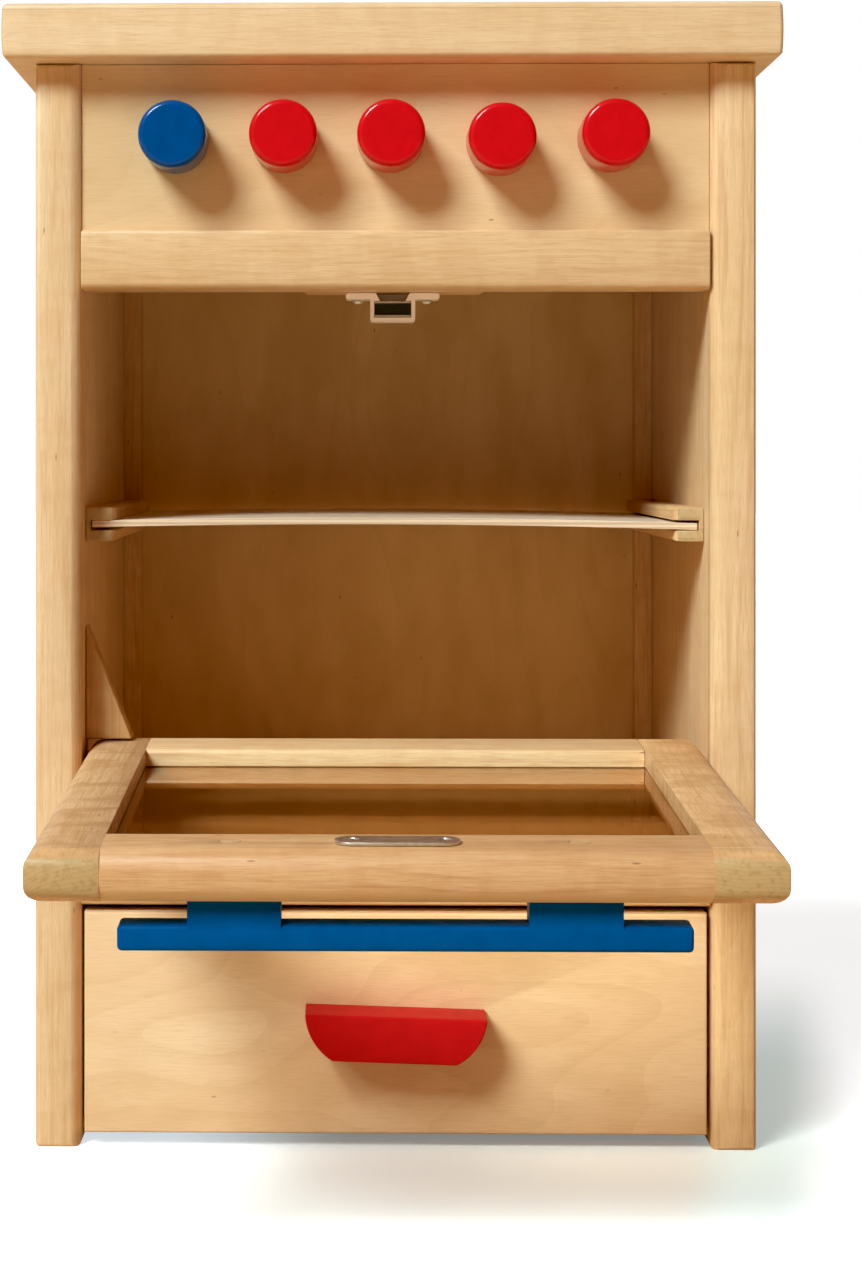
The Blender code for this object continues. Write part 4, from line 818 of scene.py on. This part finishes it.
# the turned profile, from the middle of the face over the side to the middle of the back
knobStages = {
    "face": (0.0, 0.227), "frontArc": (0.227, 0.455), "side": (0.455, 0.591), "backArc": (0.591, 0.773),
    "back": (0.773, 1.0),
}
knobMesh = {"around": 97, "along": 45, "merge": 0.000002}
knobSteps = (
    ("turn", "MULTIPLY", "across", math.tau),
    ("frontAngle", "MULTIPLY", "frontArc", math.pi / 2),
    ("backAngle", "MULTIPLY", "backArc", math.pi / 2),
    ("frontSine", "SINE", "frontAngle"),
    ("frontCosine", "COSINE", "frontAngle"),
    ("backSine", "SINE", "backAngle"),
    ("backCosine", "COSINE", "backAngle"),
    ("flatFace", "SUBTRACT", "Radius", "Face round"),
    ("faceRadius", "MULTIPLY", "flatFace", "face"),
    ("rimRadius", "MULTIPLY_ADD", "Face round", "frontSine", "faceRadius"),
    ("backDrop", "SUBTRACT", 1.0, "backCosine"),
    ("backLoss", "MULTIPLY", "Back round", "backDrop"),
    ("sideRadius", "SUBTRACT", "rimRadius", "backLoss"),
    ("flatBack", "SUBTRACT", "Radius", "Back round"),
    ("backReach", "MULTIPLY", "flatBack", "back"),
    ("radius", "SUBTRACT", "sideRadius", "backReach"),
    ("frontDrop", "SUBTRACT", 1.0, "frontCosine"),
    ("frontDepth", "MULTIPLY", "Face round", "frontDrop"),
    ("longSide", "SUBTRACT", "Length", "Face round"),
    ("shortSide", "SUBTRACT", "longSide", "Back round"),
    ("sideDepth", "MULTIPLY_ADD", "shortSide", "side", "frontDepth"),
    ("depth", "MULTIPLY_ADD", "Back round", "backSine", "sideDepth"),
    ("turnCosine", "COSINE", "turn"),
    ("turnSine", "SINE", "turn"),
    ("x", "MULTIPLY", "radius", "turnCosine"),
    ("z", "MULTIPLY", "radius", "turnSine"),
)


def knobTree(sizes):
    tree, given = newTree("TurnedKnob", {**sizes, "Centre": (0.0, 0.0, 0.0), "Finish": None})
    grid = addNode(tree, "GeometryNodeMeshGrid", {
        "Size X": 1.0, "Size Y": 1.0, "Vertices X": knobMesh["around"], "Vertices Y": knobMesh["along"],
    })
    split = addNode(tree, "SeparateXYZ", {0: addNode(tree, "GeometryNodeInputPosition")})
    known = {**{name: (given, name) for name in sizes}, "across": (split, "X")}
    for key, (start, end) in knobStages.items():
        known[key] = addNode(tree, "MapRange", {
            "Value": (split, "Y"), "From Min": start - 0.5, "From Max": end - 0.5,
        })
    worked(tree, known, knobSteps)
    shaped = addNode(tree, "CombineXYZ", {0: known["x"], 1: known["depth"], 2: known["z"]})
    moved = addNode(tree, "VectorMath", {0: shaped, 1: (given, "Centre")}, operation="ADD")
    placed = addNode(tree, "GeometryNodeSetPosition", {"Geometry": grid, "Position": moved})
    closed = addNode(tree, "GeometryNodeMergeByDistance", {"Geometry": placed, "Distance": knobMesh["merge"]})
    return endTree(tree, given, addNode(tree, "GeometryNodeSetShadeSmooth", {"Geometry": closed}))


turnedKnob = knobTree(knobSizes)
for number in range(1, 6):
    low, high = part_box(f"knob_{number}")
    look = "blue" if number == 1 else "red"
    centre = ((low.x + high.x) / 2, low.y, (low.z + high.z) / 2)
    knob = grownFrom(f"knob_{number}_turned", turnedKnob, {**knobSizes, "Centre": centre, "Finish": finishes[look]})
    keepPiece(facingOut(knob), f"knob_{number}_set", look, look + "_paint", f"knob_{number}")
print("knobs turned")

# shelf: thin ply that has bowed upwards between its grooves, with its left end lying a little high
shelfSizes = {"Width": 0.326, "Depth": 0.2205, "Thickness": 0.0037, "Bow": 0.0023, "Tilt": 0.0013}
shelfMesh = {"Vertices X": 49, "Vertices Y": 3, "Vertices Z": 3}
shelfSteps = (
    ("half", "MULTIPLY", "Width", 0.5),
    ("share", "DIVIDE", "across", "half"),
    ("square", "MULTIPLY", "share", "share"),
    ("hump", "SUBTRACT", 1.0, "square"),
    ("bowed", "MULTIPLY", "hump", "Bow"),
    ("leftward", "SUBTRACT", 1.0, "share"),
    ("raised", "MULTIPLY", "leftward", 0.5),
    ("lift", "MULTIPLY_ADD", "raised", "Tilt", "bowed"),
)


def shelfTree(sizes):
    tree, given = newTree("BowedShelf", {**sizes, "Centre": (0.0, 0.0, 0.0), "Finish": None})
    size = addNode(tree, "CombineXYZ", {0: (given, "Width"), 1: (given, "Depth"), 2: (given, "Thickness")})
    slab = addNode(tree, "GeometryNodeMeshCube", {"Size": size, **shelfMesh})
    split = addNode(tree, "SeparateXYZ", {0: addNode(tree, "GeometryNodeInputPosition")})
    known = worked(tree, {**{name: (given, name) for name in sizes}, "across": (split, "X")}, shelfSteps)
    up = addNode(tree, "CombineXYZ", {2: known["lift"]})
    offset = addNode(tree, "VectorMath", {0: up, 1: (given, "Centre")}, operation="ADD")
    return endTree(tree, given, addNode(tree, "GeometryNodeSetPosition", {"Geometry": slab, "Offset": offset}))


def makeShelf(sizes):
    low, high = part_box("shelf")
    centre = ((low.x + high.x) / 2, (low.y + high.y) / 2, low.z + sizes["Thickness"] / 2)
    given = {**sizes, "Centre": centre, "Finish": finishes["shelfPly"]}
    shelf = facingOut(grownFrom("shelf_bowed", shelfTree(sizes), given))
    return keepPiece(softened(shelf, edge=0.0004), "shelf_board", "shelfPly", "ply", "shelf")


makeShelf(shelfSizes)
print("shelf bowed")

# screws: pan heads with a cross recess, one head on each point of the mesh that the tree is given
screwSizes = {"Head radius": 0.003, "Head height": 0.0016, "Recess width": 0.0009, "Recess length": 0.0036}
screwSteps = (
    ("rim", "MULTIPLY", "Head height", 0.45),
    ("crown", "MULTIPLY", "Head height", 0.55),
    ("halfRim", "MULTIPLY", "rim", 0.5),
    ("topRadius", "MULTIPLY", "Head radius", 0.62),
)
screwLook = {"sides": 28, "recessTurn": 0.5, "edge": 0.00012, "edgeSteps": 2, "tip": 0.0002}


def screwTree(sizes):
    tree, given = newTree("CrossHeadScrews", {**sizes, "Turn": (0.0, 0.0, 0.0), "Finish": None})
    known = worked(tree, {name: (given, name) for name in sizes}, screwSteps)
    lower = addNode(tree, "GeometryNodeMeshCylinder", {
        "Vertices": screwLook["sides"], "Radius": known["Head radius"], "Depth": known["rim"],
    })
    upper = addNode(tree, "GeometryNodeMeshCone", {
        "Vertices": screwLook["sides"], "Radius Top": known["topRadius"], "Radius Bottom": known["Head radius"],
        "Depth": known["crown"],
    })
    parts = []
    for solid, height in ((lower, "halfRim"), (upper, "rim")):
        up = addNode(tree, "CombineXYZ", {2: known[height]})
        parts.append(addNode(tree, "GeometryNodeTransform", {"Geometry": solid, "Translation": up}))
    head = addNode(tree, "GeometryNodeMeshBoolean", {1: parts}, operation="UNION")
    arm = addNode(tree, "CombineXYZ", {0: known["Recess length"], 1: known["Recess width"], 2: known["Head height"]})
    armUp = addNode(tree, "CombineXYZ", {2: known["Head height"]})
    bars = []
    for turn in (screwLook["recessTurn"], screwLook["recessTurn"] + math.pi / 2):
        bar = addNode(tree, "GeometryNodeMeshCube", {"Size": arm})
        bars.append(addNode(tree, "GeometryNodeTransform", {
            "Geometry": bar, "Translation": armUp, "Rotation": (0.0, 0.0, turn),
        }))
    recessed = addNode(tree, "GeometryNodeMeshBoolean", {0: head, 1: bars}, operation="DIFFERENCE")
    points = addNode(tree, "GeometryNodeMeshToPoints", {"Mesh": (given, "Geometry")})
    spread = addNode(tree, "GeometryNodeInstanceOnPoints", {
        "Points": points, "Instance": recessed, "Rotation": (given, "Turn"),
    })
    return endTree(tree, given, spread)


crossHead = screwTree(screwSizes)


def screwsAt(kind, body, outward, sizes):
    # each head stands where its CAD screw's head ends, facing along outward
    outward = Vector(outward).normalized()
    nodes = [f"{kind}_screw_{side}" for side in ("left", "right")]
    places = []
    for node in nodes:
        corners = [v.co.copy() for v in frame["nodes"][node].data.vertices]
        far = max(corner.dot(outward) for corner in corners)
        tips = [corner for corner in corners if corner.dot(outward) > far - screwLook["tip"]]
        centre = sum(tips, Vector()) / len(tips)
        centre += outward * (far - centre.dot(outward))
        places.append(centre - outward * sizes["Head height"])
    mesh = bpy.data.meshes.new(kind + "_screws")
    mesh.from_pydata(places, [], [])
    turn = Vector((0, 0, 1)).rotation_difference(outward).to_euler()
    given = {**sizes, "Turn": tuple(turn), "Finish": finishes["screwSteel"]}
    obj = grownFrom(kind + "_screws", crossHead, given, mesh)
    return keepPiece(softened(obj, screwLook["edge"], screwLook["edgeSteps"]), body, "screwSteel", "nickel", *nodes)


doorUp = (0.0, -math.sin(doorTilt), math.cos(doorTilt))
screwsAt("strike", "door", doorUp, {**screwSizes, "Head height": 0.0012})
screwsAt("catch", "cabinet", (0, 0, -1), {**screwSizes, "Head height": 0.0018})
screwsAt("pull", "drawer", (0, 1, 0), {**screwSizes, "Head radius": 0.0035, "Head height": 0.0022})
print("screws set")

# a studio floor that sends a little warm light up; the camera sees it glow with painted light that bleaches it all
# round, as the photograph keeps it only in a pool before and to the right of the stove, where a weaker, tinted glow
# paints the stove's cast shadows lighter
floorSizes = {
    "halfWidth": 14.0, "bounce": (0.72, 0.51, 0.31, 1.0), "around": (0.60, 0.68, 0.72, 1.0),
    "beside": (0.21, 0.35, 0.37, 1.0), "before": (0.22, 0.23, 0.22, 1.0), "lean": 0.19,
    "rightEdge": (0.248, 0.200), "leftEdge": (-0.13, -0.02), "nearEdge": (-0.175, -0.115), "farEdge": (0.50, 0.16),
    "besideEdge": (0.19, 0.15),
}


def makeFloor(sizes):
    half = sizes["halfWidth"]
    mesh = bpy.data.meshes.new("floor")
    mesh.from_pydata([(-half, -half, 0), (half, -half, 0), (half, half, 0), (-half, half, 0)], [], [(0, 1, 2, 3)])
    floor = linked("floor", mesh)
    finish, tree, shader = newFinish("PaleStudioFloor", Roughness=0.7, Specular_IOR_Level=0.1)
    place = addNode(tree, "TexCoord")
    cloud = addNode(tree, "TexNoise", {"Vector": (place, "Object"), "Scale": 9.0, "Detail": 5.0, "Roughness": 0.6})
    worn = addNode(tree, "MapRange", {"Value": cloud, "From Min": 0.35, "From Max": 0.7})
    pale = addNode(tree, "Mix", {"Factor": worn, "A": srgb("#F4F2EE"), "B": srgb("#ECE9E4")}, data_type="RGBA")
    ray = addNode(tree, "LightPath")
    toCamera = {"Factor": (ray, "Is Camera Ray"), "A": sizes["bounce"], "B": pale}
    seen = addNode(tree, "Mix", toCamera, data_type="RGBA")

    # the pool's side edges lean, and each edge is from where it starts to where it is full
    axes = addNode(tree, "SeparateXYZ", {"Vector": (place, "Object")})
    leaning = addNode(tree, "Math", {0: (axes, "Y"), 1: -sizes["lean"], 2: (axes, "X")}, operation="MULTIPLY_ADD")
    edges = {}
    for key in ("rightEdge", "leftEdge", "besideEdge", "nearEdge", "farEdge"):
        edges[key] = addNode(tree, "MapRange", {
            "Value": (axes, "Y") if key in ("nearEdge", "farEdge") else leaning,
            "From Min": sizes[key][0], "From Max": sizes[key][1],
        }, interpolation_type="SMOOTHSTEP")
    pool = 1.0
    for key in ("rightEdge", "leftEdge", "nearEdge", "farEdge"):
        pool = addNode(tree, "Math", {0: edges[key], 1: pool}, operation="MULTIPLY")
    # the painted glow: the around colour bleaches the floor outside the pool; inside it the beside and before colours
    # glow less, painting the cast shadows there lighter and tinted
    ahead = {"Factor": edges["besideEdge"], "A": sizes["beside"], "B": sizes["before"]}
    near = addNode(tree, "Mix", ahead, data_type="RGBA")
    paintedGlow = addNode(tree, "Mix", {"Factor": pool, "A": sizes["around"], "B": near}, data_type="RGBA")
    wire(tree, shader, {"Base Color": seen, "Emission Strength": (ray, "Is Camera Ray"), "Emission Color": paintedGlow})
    mesh.materials.append(finish)


makeFloor(floorSizes)

# a large soft key from the front left, and a studio that is dark red before the stove and pale behind it
lightSizes = {
    "keyStrength": 3.75, "keyAngle": 22.0, "keyFrom": (-0.63, -0.86, 0.88), "keyColour": (0.765, 0.95, 0.99),
    "front": (0.20, 0.075, 0.034, 1.0), "behind": (0.75, 0.72, 0.68, 1.0),
}


def makeLight(sizes):
    key = bpy.data.lights.new("key", "SUN")
    key.energy = sizes["keyStrength"]
    key.angle = math.radians(sizes["keyAngle"])
    key.color = sizes["keyColour"]
    lamp = linked("key", key)
    lamp.visible_transmission = False  # the window's own shader already lets its light through
    lamp.rotation_mode = "QUATERNION"
    lamp.rotation_quaternion = Vector(sizes["keyFrom"]).to_track_quat("Z", "Y")
    world = bpy.data.worlds.new("studio")
    world.use_nodes = True
    scene.world = world
    tree = world.node_tree
    place = addNode(tree, "TexCoord")
    axes = addNode(tree, "SeparateXYZ", {0: (place, "Generated")})
    back = addNode(tree, "MapRange", {"Value": (axes, "Y"), "From Min": 0.1, "From Max": 0.9})
    lit = addNode(tree, "Mix", {"Factor": back, "A": sizes["front"], "B": sizes["behind"]}, data_type="RGBA")
    ray = addNode(tree, "LightPath")
    toCamera = {"Factor": (ray, "Is Camera Ray"), "A": lit, "B": (1.0, 1.0, 1.0, 1.0)}
    shown = addNode(tree, "Mix", toCamera, data_type="RGBA")
    wire(tree, tree.nodes["Background"], {"Color": shown, "Strength": 1.0})


makeLight(lightSizes)
scene.view_settings.view_transform = "Standard"
scene.view_settings.look = "None"
scene.view_settings.use_curve_mapping = True
scene.view_settings.curve_mapping.black_level = (0.008, 0.006, 0.006)  # the photograph's deep shadows
scene.view_settings.curve_mapping.update()

# solved from the cabinet's straight edges in the photograph; ahead is its distance from the side panels' fronts
cameraSizes = {
    "x": -0.0246, "ahead": 1.28, "height": 0.3664, "turn": 1.03, "lens": 68.15, "shiftX": 0.09817,
    "shiftY": -0.1445,
}


def makeCamera(sizes):
    data = bpy.data.cameras.new("camera")
    data.lens = sizes["lens"]
    data.shift_x, data.shift_y = sizes["shiftX"], sizes["shiftY"]
    camera = linked("camera", data)
    low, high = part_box("side_panel_left")
    camera.location = (sizes["x"], low.y - sizes["ahead"], sizes["height"])
    camera.rotation_euler = (math.pi / 2, 0.0, math.radians(sizes["turn"]))
    scene.camera = camera


makeCamera(cameraSizes)
print("floor, light and camera set")
